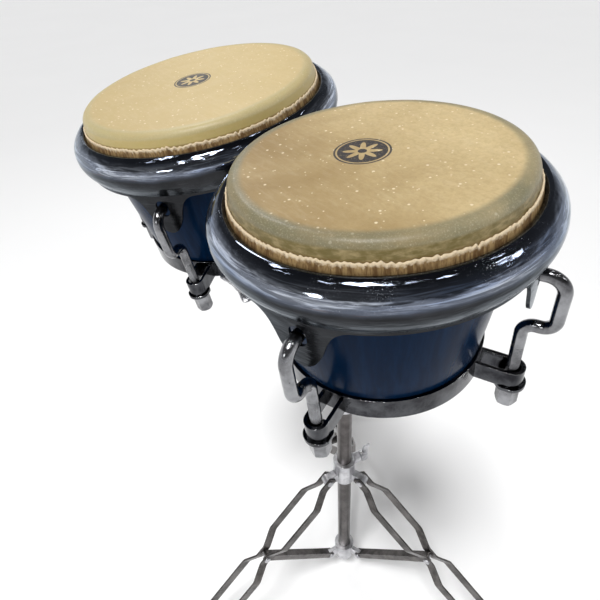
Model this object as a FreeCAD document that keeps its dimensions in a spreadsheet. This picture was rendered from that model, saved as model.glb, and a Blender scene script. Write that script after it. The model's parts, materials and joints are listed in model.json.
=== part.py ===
"""Pair of bongo drums on a folding tripod stand, as an assembly of separate pieces.

Frame: +Z up along the stand's tube, origin on the floor under the tube, millimetres.
The front is -Y.  The small drum is on the +X side and the large drum on the -X side.
"""
import FreeCAD, Part
import math
import os
import re

import Sketcher

Vector = FreeCAD.Vector
Placement = FreeCAD.Placement
Rotation = FreeCAD.Rotation

ORIGIN = Vector(0, 0, 0)
X_AXIS = Vector(1, 0, 0)
Y_AXIS = Vector(0, 1, 0)
Z_AXIS = Vector(0, 0, 1)

SIZES = (
    # drums: radii are measured where the rim meets the skin, drops go down from that level
    ("head_small", 88.0), ("head_large", 104.5), ("drum_depth", 131.0),
    ("skin_thick", 1.3), ("crown_rise", 15.3), ("crown_round", 6.0), ("crown_inset", 8.8),
    ("flap_rise", 4.6), ("flap_thick", 1.0), ("hoop_radius", 2.0), ("hoop_drop", 8.5),
    ("shell_wall", 9.0), ("shell_belly", 1.5), ("foot_inset", 18.8),
    ("ring_height", 16.5), ("ring_sheet", 2.5), ("ring_lip", 5.0),
    ("rim_reach", 14.6), ("rim_bulge_drop", 14.5), ("rim_sheet", 2.2), ("rim_gap", 0.3),
    ("apron_reach", 8.2), ("apron_drop", 31.0), ("apron_taper", 1.0),
    ("tab_drop", 64.0), ("tab_spread", 28.0), ("tab_lap", 2.0),
    ("hole_drop", 40.5), ("hole_radius", 5.2), ("hole_slot", 4.0),
    ("lug_turn_small", 22.7), ("lug_turn_large", 40.0),
    # tuning hooks, ears, washers and nuts: reaches are from the head radius outwards
    ("rod_radius", 4.0), ("rod_reach", 4.6), ("hook_reach", 21.5), ("hook_low", 78.0),
    ("hook_bend", 7.5), ("rod_tail", 18.0), ("hook_inset", 1.0),
    ("ear_inner", 5.5), ("ear_sheet", 2.5), ("ear_height", 13.5), ("ear_rise", 1.0),
    ("washer_length", 20.0), ("washer_width", 19.0), ("washer_thick", 2.5),
    ("nut_radius", 7.4), ("nut_length", 18.0), ("turn_gap", 0.05),
    # centre block and its clamp
    ("block_half", 30.0), ("block_width", 46.0), ("block_height", 40.0), ("block_round", 3.5),
    ("block_drop", 70.0), ("large_drop", 2.0), ("large_twist", 3.0), ("gasket", 2.0),
    ("plate_thick", 2.5), ("plate_height", 36.0), ("plate_sweep", 32.0),
    ("bolt_radius", 4.0), ("bolt_spacing", 20.0), ("bolt_head", 6.5), ("bolt_seat", 2.2),
    ("bolt_dome", 5.0), ("bolt_tail", 12.0), ("tie_nut_height", 6.5),
    ("pad_thick", 3.0), ("clamp_plate", 5.0), ("clamp_width", 30.0), ("jaw_width", 24.0),
    ("jaw_top", 2.0), ("screw_drop", 40.0), ("screw_radius", 4.0), ("screw_length", 42.0),
    ("screw_shoulder", 19.0),
    # tilter
    ("pivot_back", 52.0), ("pivot_drop", 68.0), ("deck_tilt", 5.0),
    ("tilter_disc", 14.0), ("tongue_half", 6.0), ("cheek_thick", 6.0), ("cheek_gap", 0.1),
    ("tilt_tail", 16.0),
    ("arm_front", 14.0), ("arm_shoulder", 22.0), ("arm_heel", 12.0), ("tongue_room", 3.0),
    ("socket_roof", 5.0), ("swivel_rise", 14.0), ("tongue_web", 20.0), ("tongue_sink", 4.0),
    ("beam_height", 24.0), ("pivot_radius", 4.0), ("socket_radius", 13.0), ("socket_length", 40.0),
    # stand
    ("tube_radius", 9.5), ("tube_wall", 1.5), ("mast_radius", 7.6), ("mast_wall", 1.4),
    ("outer_length", 397.0), ("mast_bottom", 200.0), ("pivot_height", 632.0),
    ("bushing_length", 40.0), ("tube_tail", 16.0),
    ("hub_radius", 15.0), ("hub_below", 18.0), ("hub_above", 13.0),
    ("link_length", 151.0), ("leg_length", 382.0), ("leg_angle", 45.3), ("link_radius", 27.0),
    ("foot_radius", 13.0), ("foot_height", 19.0), ("foot_sink", 6.0),
    ("ear_thick", 10.3), ("hub_ear_thick", 6.0), ("link_round", 7.0), ("rivet_radius", 2.5),
    ("rivet_head", 4.5), ("rivet_cap", 2.0), ("side_gap", 0.15),
    ("strip_thick", 2.5), ("strip_width", 12.0), ("strip_bow", 18.0), ("strip_bend", 12.0),
    ("strip_tail", 7.0), ("strip_flat", 15.0), ("bow_ramp", 25.0), ("waist_half", 9.0),
    ("ankle_flat", 20.0), ("ankle_ramp", 32.0), ("strip_toe", 2.0),
    ("brace_width", 10.0), ("brace_sheet", 2.0),
    ("collar_below", 10.0), ("collar_above", 28.0), ("collar_bolt_rise", 18.0),
    ("clamp_below", 26.0), ("clamp_above", 6.0), ("clamp_bolt_drop", 12.0),
    ("wing_turn", 83.0), ("first_leg_turn", 23.0),
    ("boss_radius", 7.0), ("boss_reach", 23.0),
    ("wing_shank", 3.5), ("wing_hub", 6.5), ("wing_hub_length", 10.0),
    ("wing_reach", 13.0), ("wing_lobe", 8.0), ("wing_thick", 4.0),
)
ALIASES = [alias for alias, _ in SIZES]

doc = FreeCAD.newDocument("BongoDrums")
sheet = doc.addObject("Spreadsheet::Sheet", "Sizes")
for row, (alias, number) in enumerate(SIZES, start=1):
    sheet.set(f"A{row}", alias)
    sheet.set(f"B{row}", str(number))
    sheet.setAlias(f"B{row}", alias)
doc.recompute()

nodes = []


# ---------------------------------------------------------------- sheet and document helpers

def formula(text):
    """Spell a formula of size names the way the document's expressions need it."""
    return re.sub(r"[a-z][a-z_]*", lambda word: "Sizes." + word.group(0)
                  if word.group(0) in ALIASES else word.group(0), text)


def value(text):
    """Number that a formula of size names stands for now."""
    return float(sheet.evalExpression(formula(text)))


def bind(item, **formulas):
    """Tie an object's properties to the sheet."""
    for name, text in formulas.items():
        item.setExpression(name, formula(text))
    return item


def at(x=0.0, y=0.0, z=0.0, turn=None):
    """Placement at a point, with an optional rotation."""
    return Placement(Vector(x, y, z), turn or Rotation())


def about(axis, degrees):
    """Placement that turns about an axis through the origin."""
    return Placement(ORIGIN, Rotation(axis, degrees))


def keep(item, label, place=None):
    """Name a finished sub-part and put it in its place."""
    item.Label = label
    if place is not None:
        item.Placement = place
    nodes.append(item)
    return item


def solid_part(label, shape, place=None):
    """Sub-part whose shape is a free curve or a group of alike solids."""
    item = doc.addObject("Part::Feature", label)
    item.Shape = shape
    return keep(item, label, place)


def group(label, template, places):
    """Sub-part made of alike solids, one at each placement."""
    doc.recompute()
    copies = []
    for place in places:
        copy = template.Shape.copy()
        copy.Placement = place.multiply(copy.Placement)
        copies.append(copy)
    return solid_part(label, Part.makeCompound(copies))


# ---------------------------------------------------------------- primitives tied to the sheet

def cylinder(name, radius, height, place=None):
    item = bind(doc.addObject("Part::Cylinder", name), Radius=radius, Height=height)
    item.Placement = place or Placement()
    return item


def box(name, length, width, height, place=None):
    item = bind(doc.addObject("Part::Box", name), Length=length, Width=width, Height=height)
    item.Placement = place or Placement()
    return item


def fused(name, pieces):
    item = doc.addObject("Part::MultiFuse", name)
    item.Shapes = pieces
    return item


def cut(name, base, tools):
    item = doc.addObject("Part::Cut", name)
    item.Base = base
    item.Tool = tools[0] if len(tools) == 1 else fused(name + "_tools", tools)
    return item


# ---------------------------------------------------------------- bodies made from sketches

def new_body(label, place=None):
    body = doc.addObject("PartDesign::Body", label)
    return keep(body, label, place)


def new_sketch(body, name, plane):
    sketch = body.newObject("Sketcher::SketchObject", name)
    planes = [item for item in body.Origin.OriginFeatures if item.Role == plane]
    sketch.AttachmentSupport = [(planes[0], "")]
    sketch.MapMode = "FlatFace"
    return sketch


def tie_point(sketch, edge, end, across, along):
    """Tie an edge's end to the sheet by its distances from the sketch's origin."""
    for kind, text in (("DistanceX", across), ("DistanceY", along)):
        index = sketch.addConstraint(Sketcher.Constraint(kind, -1, 1, edge, end, value(text)))
        sketch.setExpression(f"Constraints[{index}]", formula(text))


def outline(body, name, plane, corners):
    """Closed sketch of straight edges, each corner tied to the sheet."""
    sketch = new_sketch(body, name, plane)
    points = [Vector(value(across), value(along), 0) for across, along in corners]
    count = len(points)
    for index, point in enumerate(points):
        sketch.addGeometry(Part.LineSegment(point, points[(index + 1) % count]))
    for index in range(count):
        sketch.addConstraint(Sketcher.Constraint("Coincident", index, 2, (index + 1) % count, 1))
    for index, (across, along) in enumerate(corners):
        tie_point(sketch, index, 1, across, along)
    return sketch


def ring_outline(body, name, plane, across, along, radius):
    """Circle sketch tied to the sheet."""
    sketch = new_sketch(body, name, plane)
    centre = Vector(value(across), value(along), 0)
    sketch.addGeometry(Part.Circle(centre, Z_AXIS, value(radius)))
    tie_point(sketch, 0, 3, across, along)
    index = sketch.addConstraint(Sketcher.Constraint("Radius", 0, value(radius)))
    sketch.setExpression(f"Constraints[{index}]", formula(radius))
    return sketch


def pad(body, sketch, length, both_sides=True):
    feature = body.newObject("PartDesign::Pad", sketch.Name + "_pad")
    feature.Profile = sketch
    feature.Midplane = both_sides
    bind(feature, Length=length)
    return feature


def pocket(body, sketch, length="200"):
    feature = body.newObject("PartDesign::Pocket", sketch.Name + "_pocket")
    feature.Profile = sketch
    feature.Midplane = True
    bind(feature, Length=length)
    return feature


def turned(body, sketch):
    feature = body.newObject("PartDesign::Revolution", sketch.Name + "_turned")
    feature.Profile = sketch
    feature.ReferenceAxis = (sketch, ["V_Axis"])
    feature.Angle = 360.0
    return feature


def thirds(body, features):
    """Repeat features three times about the body's Z axis."""
    pattern = body.newObject("PartDesign::PolarPattern", features[-1].Name + "_thirds")
    pattern.Originals = features
    axes = [item for item in body.Origin.OriginFeatures if item.Role == "Z_Axis"]
    pattern.Axis = (axes[0], [""])
    pattern.Angle = 360.0
    pattern.Occurrences = 3
    body.Tip = pattern
    return pattern


# ---------------------------------------------------------------- free curves

def arc(start, middle, end):
    return Part.Arc(start, middle, end).toShape()


def line(start, end):
    return Part.LineSegment(start, end).toShape()


def arcs_along(points, count=8):
    """Smooth curve through the points, as a chain of arcs, with the curve itself."""
    curve = Part.BSplineCurve()
    curve.interpolate(Points=points)
    first, step = curve.FirstParameter, (curve.LastParameter - curve.FirstParameter) / (2 * count)
    stations = [curve.value(first + step * index) for index in range(2 * count + 1)]
    stations[0], stations[-1] = points[0], points[-1]
    return [arc(*stations[index:index + 3]) for index in range(0, 2 * count, 2)], curve


def flat(radius, height):
    """Point of a profile that is turned about the Z axis."""
    return Vector(radius, 0, height)


def polar(centre, radius, degrees):
    angle = math.radians(degrees)
    return centre + Vector(radius * math.cos(angle), 0, radius * math.sin(angle))


def spun(edges, degrees=360.0):
    """Solid from a closed profile turned about the Z axis."""
    face = Part.Face(Part.Wire(Part.__sortEdges__(edges)))
    return face.revolve(ORIGIN, Z_AXIS, degrees)


def rounded_path(points, radii):
    """Edges of a path of straight runs whose inner corners are tangent arcs."""
    edges = []
    start = points[0]
    for before, corner, after, radius in zip(points, points[1:], points[2:], radii):
        back = (before - corner).normalize()
        ahead = (after - corner).normalize()
        half = back.getAngle(ahead) / 2
        reach = radius / math.tan(half)
        centre = corner + (back + ahead).normalize() * (radius / math.sin(half))
        middle = centre + (corner - centre).normalize() * radius
        edges.append(line(start, corner + back * reach))
        edges.append(arc(corner + back * reach, middle, corner + ahead * reach))
        start = corner + ahead * reach
    edges.append(line(start, points[-1]))
    return edges


def bent_rod(points, radii, radius):
    """Round rod along a path of straight runs and tangent arcs."""
    path = Part.Wire(rounded_path(points, radii))
    section = Part.Wire(Part.makeCircle(radius, points[0], points[1] - points[0]))
    return path.makePipeShell([section], True, False)


def offset_points(points, distance):
    """Corners of a flat path moved sideways, so that its runs stay parallel."""
    moved = []
    for index, point in enumerate(points):
        runs = [(points[i + 1] - points[i]).normalize() for i in (index - 1, index)
                if 0 <= i < len(points) - 1]
        sides = [Vector(-run.y, run.x, 0) for run in runs]
        middle = sum(sides, ORIGIN).normalize()
        moved.append(point + middle * (distance / middle.dot(sides[0])))
    return moved


def ribbon(points, thickness, radius, width):
    """Bent flat strip: a path in the XY plane, thickened, with its width along Z."""
    bends = [math.copysign(1.0, (b - a).cross(c - b).z)
             for a, b, c in zip(points, points[1:], points[2:])]
    half = thickness / 2
    left_corners, right_corners = offset_points(points, half), offset_points(points, -half)
    left = rounded_path(left_corners, [radius - bend * half for bend in bends])
    right = rounded_path(right_corners, [radius + bend * half for bend in bends])
    ends = [line(left_corners[i], right_corners[i]) for i in (0, -1)]
    face = Part.Face(Part.Wire(Part.__sortEdges__(left + right + ends)))
    strip = face.extrude(Vector(0, 0, width))
    strip.translate(Vector(0, 0, -width / 2))
    return strip


# ---------------------------------------------------------------- places

LINK_ANGLE = value("leg_angle")
HUB_HEIGHT = value("(leg_length - 2 * link_length) * sin(leg_angle) + foot_sink")
COLLAR_HEIGHT = HUB_HEIGHT + value("2 * link_length * sin(leg_angle)")
LEG_TURNS = [value("first_leg_turn") + 120.0 * index for index in range(3)]
WING_TURN = value("wing_turn")
TUBE_TOP = HUB_HEIGHT + value("outer_length - tube_tail")
PIVOT_HEIGHT = value("pivot_height")

DECK_TURN = about(X_AXIS, value("deck_tilt"))
DECK = at(0, 0, PIVOT_HEIGHT) * DECK_TURN * at(0, -value("pivot_back"), value("pivot_drop"))


class Drum:
    """Sizes, place and direction of one drum."""

    def __init__(self, name, head, side, lug_turn, lower, twist):
        self.name = name
        self.head = value(head)
        self.foot = self.head - value("foot_inset")
        self.side = side
        self.lug_turns = [lug_turn + 90.0 * index for index in range(4)]
        self.axis_x = side * (value("block_half") + self.shell_radius(-value("block_drop")))
        centre = at(self.axis_x, 0, value("block_drop") - lower)
        self.place = DECK * centre * about(X_AXIS, twist)
        self.in_deck = centre * about(X_AXIS, twist)

    def shell_corners(self):
        """Upper, middle and lower points of the shell's outer curve."""
        crown = flat(self.head - value("crown_inset"), value("crown_rise - crown_round"))
        upper = polar(crown, value("crown_round - skin_thick"), 10)
        lower = flat(self.foot, value("ring_height - drum_depth"))
        middle = (upper + lower) * 0.5 + flat(value("shell_belly"), 0)
        return upper, middle, lower

    def shell_radius(self, height):
        upper, middle, lower = self.shell_corners()
        curve = arc(upper, middle, lower).Curve
        centre = curve.Center
        reach = math.sqrt(curve.Radius ** 2 - (height - centre.z) ** 2)
        return centre.x + reach if centre.x < middle.x else centre.x - reach

    def inner_radius(self, height):
        """Inner wall, a straight taper from the bearing edge to the foot."""
        top, bottom = self.inner_corners()
        share = (height - bottom.z) / (top.z - bottom.z)
        return bottom.x + share * (top.x - bottom.x)

    def inner_corners(self):
        crown = flat(self.head - value("crown_inset"), value("crown_rise - crown_round"))
        top = polar(crown, value("crown_round - skin_thick"), 170)
        return top, flat(self.foot - value("shell_wall"), value("ring_sheet - drum_depth"))


SMALL = Drum("small", "head_small", 1, value("lug_turn_small"), 0.0, 0.0)
LARGE = Drum("large", "head_large", -1, value("lug_turn_large"), value("large_drop"),
             value("large_twist"))


# ---------------------------------------------------------------- drum pieces

def tie_bolt_holes(drum):
    """Cylinders of the two tie bolts, in the drum's own frame."""
    holes = []
    for sign in (-1, 1):
        rod = Part.makeCylinder(value("bolt_radius"), 160,
                                Vector(-80, 0, sign * value("bolt_spacing") / 2), X_AXIS)
        rod.Placement = drum.in_deck.inverse() * rod.Placement
        holes.append(rod)
    return holes


def shell(drum):
    """Tapered wooden shell with a rounded bearing edge and a rabbet for the bottom ring."""
    upper, middle, lower = drum.shell_corners()
    inner_top, inner_bottom = drum.inner_corners()
    crown = flat(drum.head - value("crown_inset"), value("crown_rise - crown_round"))
    top = polar(crown, value("crown_round - skin_thick"), 90)
    foot = flat(drum.foot, value("ring_sheet - drum_depth"))
    edges = [arc(upper, top, inner_top), line(inner_top, inner_bottom), line(inner_bottom, foot),
             line(foot, lower), arc(lower, middle, upper)]
    shape = spun(edges).cut(tie_bolt_holes(drum))
    return solid_part(f"{drum.name}_shell", shape, drum.place)


def hoop_ring(drum, radius):
    reach = drum.head - value("hoop_radius")
    return Part.makeTorus(reach, radius, flat(0, -value("hoop_drop")), Z_AXIS)


def skin(drum):
    """Rawhide head: flat top, rounded crown, side, trimmed flap and a tuck round its hoop."""
    thick = value("skin_thick")
    crown = flat(drum.head - value("crown_inset"), value("crown_rise - crown_round"))
    slope = (polar(ORIGIN, 1, -80)).normalize()

    def side_point(radius, height):
        start = polar(crown, radius, 10)
        return start + slope * ((height - start.z) / slope.z)

    outer, inner = value("crown_round"), value("crown_round") - thick
    low = -value("hoop_drop") + value("hoop_radius") / 2
    flap = value("flap_rise")
    flap_top = side_point(outer, flap)
    flap_out = flap_top + flat(value("flap_thick"), -0.3)
    corners = [flat(0, crown.z + outer), crown + flat(0, outer), polar(crown, outer, 50),
               polar(crown, outer, 10), flap_top, flap_out, flat(drum.head - 0.1, -1.0),
               flat(drum.head - 0.1, low), side_point(inner, low), polar(crown, inner, 10),
               polar(crown, inner, 50), crown + flat(0, inner), flat(0, crown.z + inner)]
    a, b, c, d, e, f, g, i, j, k, m, n, o = corners
    edges = [line(a, b), arc(b, c, d), line(d, e), line(e, f), line(f, g), line(g, i), line(i, j),
             line(j, k), arc(k, m, n), line(n, o), line(o, a)]
    tuck = hoop_ring(drum, value("hoop_radius") + thick - 0.2)
    shape = spun(edges).fuse(tuck).cut(hoop_ring(drum, value("hoop_radius")))
    return solid_part(f"{drum.name}_head", shape.removeSplitter(), drum.place)


def flesh_hoop(drum):
    """Round steel hoop that the skin is wrapped on."""
    hoop = doc.addObject("Part::Torus", f"{drum.name}_flesh_hoop")
    bind(hoop, Radius1=f"head_{drum.name} - hoop_radius", Radius2="hoop_radius")
    return keep(hoop, f"{drum.name}_flesh_hoop", drum.place * at(0, 0, -value("hoop_drop")))


def rim_profile(drum):
    """Section of the rim: inner lip, rounded top, bulge, and an apron down past the tabs."""
    head, reach, drop = drum.head, value("rim_reach"), value("rim_bulge_drop")
    apron, sheet_thick, taper = value("apron_reach"), value("rim_sheet"), value("apron_taper")
    foot = flat(head + apron - taper, -value("tab_drop + tab_lap"))
    points = [flat(head + value("rim_gap"), -1.6), flat(head + 0.25 * reach, 0.9),
              flat(head + 0.62 * reach, -0.16 * drop), flat(head + 0.9 * reach, -0.5 * drop),
              flat(head + reach, -drop), flat(head + 0.9 * reach, -1.45 * drop),
              flat(head + 0.67 * reach, -1.84 * drop),
              flat(head + apron, value("tab_lap - apron_drop"))]
    outer, curve = arcs_along(points)
    inside = []
    for point in points:
        tangent = curve.tangent(curve.parameter(point))[0]
        inside.append(point + Vector(tangent.z, 0, -tangent.x) * sheet_thick)
    inner, _ = arcs_along(inside)
    lip = -value("hoop_drop") + value("hoop_radius") + 0.1
    first, last = flat(inside[0].x, lip), flat(points[0].x, lip)
    inner_foot = foot - flat(sheet_thick, 0)
    return outer + [line(points[-1], foot), line(foot, inner_foot),
                    line(inner_foot, inside[-1])] + inner[::-1] + [
                        line(inside[0], first), line(first, last), line(last, points[0])]


def tab_outline():
    """Outline of one lug's tab on the apron, in the plane that faces the lug."""
    spread, top, tip = value("tab_spread"), -value("apron_drop"), -value("tab_drop")
    depth = top - tip
    lap = value("tab_lap")
    right = [(spread, top + lap), (spread, top), (0.69 * spread, top - 0.16 * depth),
             (0.53 * spread, top - 0.45 * depth), (0.37 * spread, top - 0.76 * depth), (0.0, tip)]
    left = [(-across, height) for across, height in reversed(right[:-1])]
    points = [Vector(0, across, height) for across, height in right + left]
    edge, _ = arcs_along(points[1:-1])
    sides = [line(points[0], points[1])] + edge + [line(points[-2], points[-1]),
                                                   line(points[-1], points[0])]
    face = Part.Face(Part.Wire(sides))
    return face.extrude(Vector(160, 0, 0))


def hook_hole():
    """Upright slot through a tab."""
    radius, slot, drop = value("hole_radius"), value("hole_slot"), value("hole_drop")
    low, high = -drop - slot / 2, -drop + slot / 2
    ends = [Part.makeCylinder(radius, 160, Vector(0, 0, height), X_AXIS) for height in (low, high)]
    middle = Part.makeBox(160, 2 * radius, slot, Vector(0, -radius, low))
    return ends[0].fuse([ends[1], middle])


def rim(drum):
    """Steel rim: rolled top, bulge and apron, cut away below except for a tab at each lug."""
    low, high = -value("tab_drop + 2 * tab_lap"), -value("apron_drop")
    waste = Part.makeCylinder(drum.head + 2 * value("rim_reach"), high - low, flat(0, low))
    tab, hole = tab_outline(), hook_hole()
    tabs, holes = [], []
    for turn in drum.lug_turns:
        for template, copies in ((tab, tabs), (hole, holes)):
            copy = template.copy()
            copy.Placement = about(Z_AXIS, turn)
            copies.append(copy)
    shape = spun(rim_profile(drum)).cut(waste.cut(tabs)).cut(holes)
    return solid_part(f"{drum.name}_rim", shape, drum.place)


def bottom_ring(drum):
    """Angle-section steel ring round the foot of the shell."""
    body = new_body(f"{drum.name}_bottom_ring", drum.place)
    inner = f"head_{drum.name} - foot_inset"
    top, low = "ring_height - drum_depth", "-drum_depth"
    corners = [(inner, top), (f"{inner} + ring_sheet", top), (f"{inner} + ring_sheet", low),
               (f"{inner} - ring_lip", low), (f"{inner} - ring_lip", f"{low} + ring_sheet"),
               (inner, f"{low} + ring_sheet")]
    turned(body, outline(body, f"{drum.name}_ring_section", "XZ_Plane", corners))
    return body


def lug_places(drum, shift=0.0):
    """Places of a drum's four lugs, moved outwards from the drum's axis."""
    return [drum.place * about(Z_AXIS, turn) * at(shift) for turn in drum.lug_turns]


def ring_ears(drum):
    """Four straps, each bent to a U round its tuning rod and welded to the bottom ring."""
    rod = f"head_{drum.name} + rod_reach"
    ring = f"head_{drum.name} - foot_inset + ring_sheet"
    low = value("ear_rise - drum_depth")
    name = f"{drum.name}_ear"
    wide, narrow = "ear_inner + ear_sheet", "ear_inner"
    start = value(ring) - 2
    arms = box(name + "_arms", f"{rod} - {start}", f"2 * ({wide})", "ear_height",
               at(start, -value(wide), low))
    nose = cylinder(name + "_nose", wide, "ear_height", at(value(rod), 0, low))
    gap = box(name + "_gap", f"{rod} - {start} + 1", f"2 * {narrow}", "ear_height",
              at(start - 1, -value(narrow), low))
    eye = cylinder(name + "_eye", narrow, "ear_height", at(value(rod), 0, low))
    seat = cylinder(name + "_seat", ring, "ear_height", at(0, 0, low))
    ear = cut(name, fused(name + "_solid", [arms, nose]), [gap, eye, seat])
    return group(f"{drum.name}_ring_ears", ear, lug_places(drum))


def hooks(drum):
    """Four tuning hooks: straight threaded shank, outward crank, and a bent end in the tab."""
    rod, far = drum.head + value("rod_reach"), drum.head + value("hook_reach")
    low, hole = -value("hook_low"), -value("hole_drop")
    path = [flat(rod, -value("drum_depth + rod_tail")), flat(rod, low), flat(far, low),
            flat(far, hole), flat(drum.head + value("hook_inset"), hole)]
    bend = value("hook_bend")
    hook = bent_rod(path, [bend, bend, bend + 3.0], value("rod_radius"))
    places = lug_places(drum)
    copies = [hook.copy() for _ in places]
    for copy, place in zip(copies, places):
        copy.Placement = place * copy.Placement
    return solid_part(f"{drum.name}_hooks", Part.makeCompound(copies))


def ear_washer(drum):
    """Plate under an ear of one drum, at the drum's own angle zero."""
    low = value("ear_rise - drum_depth - washer_thick")
    rod = value(f"head_{drum.name} + rod_reach")
    name = f"{drum.name}_washer"
    plate = box(name + "_plate", "washer_length", "washer_width", "washer_thick",
                at(rod - value("washer_length") / 2, -value("washer_width") / 2, low))
    corner = cylinder(name + "_corner", "washer_length / 2", "washer_thick", at(rod, 0, low))
    rounded = doc.addObject("Part::MultiCommon", name + "_rounded")
    rounded.Shapes = [plate, corner]
    hole = cylinder(name + "_hole", "rod_radius + turn_gap", "washer_thick", at(rod, 0, low))
    return cut(name, rounded, [hole])


def ear_washers():
    """The plates of both drums, one on each tuning rod."""
    plates = [(ear_washer(drum), drum) for drum in (SMALL, LARGE)]
    doc.recompute()
    copies = []
    for plate, drum in plates:
        for place in lug_places(drum):
            copy = plate.Shape.copy()
            copy.Placement = place * copy.Placement
            copies.append(copy)
    return solid_part("ear_washers", Part.makeCompound(copies))


def tuning_nuts(drum):
    """Long hexagon nuts, each a sub-part of its own because each one turns."""
    low = value("ear_rise - drum_depth - washer_thick - nut_length")
    rod = value(f"head_{drum.name} + rod_reach")
    for index, place in enumerate(lug_places(drum, rod), start=1):
        name = f"{drum.name}_nut_{index}"
        hexagon = bind(doc.addObject("Part::Prism", name + "_hexagon"),
                       Circumradius="nut_radius", Height="nut_length")
        hexagon.Polygon = 6
        bore = cylinder(name + "_bore", "rod_radius + turn_gap", "nut_length")
        keep(cut(name, hexagon, [bore]), name, place * at(0, 0, low))


def drum_pieces(drum):
    shell(drum)
    skin(drum)
    flesh_hoop(drum)
    rim(drum)
    bottom_ring(drum)
    ring_ears(drum)
    hooks(drum)
    tuning_nuts(drum)


# ---------------------------------------------------------------- centre block

def shell_envelope(drum, grow):
    """Solid plug as wide as the shell's outside plus a margin, in the deck's frame."""
    upper, middle, lower = drum.shell_corners()
    shift = flat(grow, 0)
    ends = flat(0, upper.z), flat(0, lower.z)
    edges = [arc(lower + shift, middle + shift, upper + shift), line(upper + shift, ends[0]),
             line(ends[0], ends[1]), line(ends[1], lower + shift)]
    plug = spun(edges)
    plug.Placement = drum.in_deck
    return plug


def block_blank():
    """Box between the drums with its long edges rounded, before the shells are cut away."""
    wide, tall = value("block_width"), value("block_height")
    long = value("block_half + shell_wall + 20")
    blank = Part.makeBox(2 * long, wide, tall, Vector(-long, -wide / 2, -tall / 2))
    edges = [edge for edge in blank.Edges if abs(edge.tangentAt(edge.FirstParameter).x) > 0.9]
    return blank.makeFillet(value("block_round"), edges)


def bolt_rod(height, start, end, radius):
    return Part.makeCylinder(radius, end - start, Vector(start, 0, height), X_AXIS)


def block_pieces():
    """Wooden block, rubber gaskets, curved backing plates and the two tie bolts with nuts."""
    blank = block_blank()
    rods = [bolt_rod(sign * value("bolt_spacing") / 2, -80, 80, value("bolt_radius"))
            for sign in (-1, 1)]
    gasket = value("gasket")
    cores = [shell_envelope(drum, gasket) for drum in (SMALL, LARGE)]
    trim = Part.makeBox(2 * value("block_half"), 300, 300,
                        Vector(-value("block_half"), -150, -150))
    solid_part("block", blank.cut(cores + rods).common(trim), DECK)
    gaskets, plates = [], []
    for drum in (SMALL, LARGE):
        wrapped = shell_envelope(drum, gasket).cut(shell_envelope(drum, 0))
        band = blank.common(wrapped).cut(rods)
        near = [solid for solid in band.Solids
                if abs(solid.CenterOfMass.x) < value("block_half + 10")]
        gaskets.extend(near)
        plates.append(backing_plate(drum).cut(rods))
    solid_part("block_gaskets", Part.makeCompound(gaskets), DECK)
    solid_part("block_backing_plates", Part.makeCompound(plates), DECK)
    tie_bolts()


def backing_plate(drum):
    """Curved steel plate against the inner wall, in the deck's frame."""
    high = -value("block_drop") + value("plate_height") / 2
    low = high - value("plate_height")
    thick, sweep = value("plate_thick"), value("plate_sweep")
    corners = [flat(drum.inner_radius(high), high), flat(drum.inner_radius(low), low),
               flat(drum.inner_radius(low) - thick, low), flat(drum.inner_radius(high) - thick, high)]
    plate = spun([line(corners[i], corners[(i + 1) % 4]) for i in range(4)], sweep)
    facing = 180.0 if drum.side > 0 else 0.0
    plate.Placement = drum.in_deck * about(Z_AXIS, facing - sweep / 2) * plate.Placement
    return plate


def tie_bolts():
    """Two bolts from inside the small drum to nuts inside the large one."""
    seat = value("plate_thick + bolt_seat")
    head_at = SMALL.axis_x - SMALL.inner_radius(-value("block_drop")) + seat
    nut_at = LARGE.axis_x + LARGE.inner_radius(-value("block_drop")) - seat
    radius, head = value("bolt_radius"), value("bolt_head")
    tall, tail = value("bolt_dome"), value("bolt_tail")
    bolts, nuts = [], []
    for sign in (-1, 1):
        height = sign * value("bolt_spacing") / 2
        dome = bolt_rod(height, head_at, head_at + tall, head)
        rim_edge = [edge for edge in dome.Edges if edge.CenterOfMass.x > head_at + 0.9 * tall]
        dome = dome.makeFillet(tall / 2, rim_edge)
        bolts.append(bolt_rod(height, nut_at - tail, head_at, radius).fuse(dome))
        corners = [Vector(nut_at, head * math.sin(math.radians(60 * i)),
                          height + head * math.cos(math.radians(60 * i))) for i in range(7)]
        nut = Part.Face(Part.makePolygon(corners)).extrude(Vector(-value("tie_nut_height"), 0, 0))
        nuts.append(nut.cut(bolt_rod(height, nut_at - tail, head_at, radius)))
    solid_part("block_tie_bolts", Part.makeCompound(bolts), DECK)
    solid_part("block_tie_nuts", Part.makeCompound(nuts), DECK)


# ---------------------------------------------------------------- block clamp and tilter

def clamp_bracket():
    """Bent plate under the block with a fixed jaw behind it, in the deck's YZ plane."""
    body = new_body("clamp_bracket", DECK)
    back = "block_width / 2 + pad_thick"
    under = "-block_height / 2 - pad_thick"
    front = "-block_width / 2 - 1"
    corners = [(front, f"{under} - clamp_plate"), (f"{back} + clamp_plate", f"{under} - clamp_plate"),
               (f"{back} + clamp_plate", "-jaw_top"), (back, "-jaw_top"), (back, under),
               (front, under)]
    pad(body, outline(body, "bracket_side", "YZ_Plane", corners), "clamp_width")
    return body


def clamp_pads():
    """Rubber pads under and behind the block."""
    half, under = value("block_width / 2"), -value("block_height / 2")
    width, thick = value("clamp_width"), value("pad_thick")
    lower = Part.makeBox(width, 2 * half, thick, Vector(-width / 2, -half, under - thick))
    rise = -value("jaw_top") - under
    rear = Part.makeBox(width, thick, rise, Vector(-width / 2, half, under))
    solid_part("clamp_pads", Part.makeCompound([lower, rear]), DECK)


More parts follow.
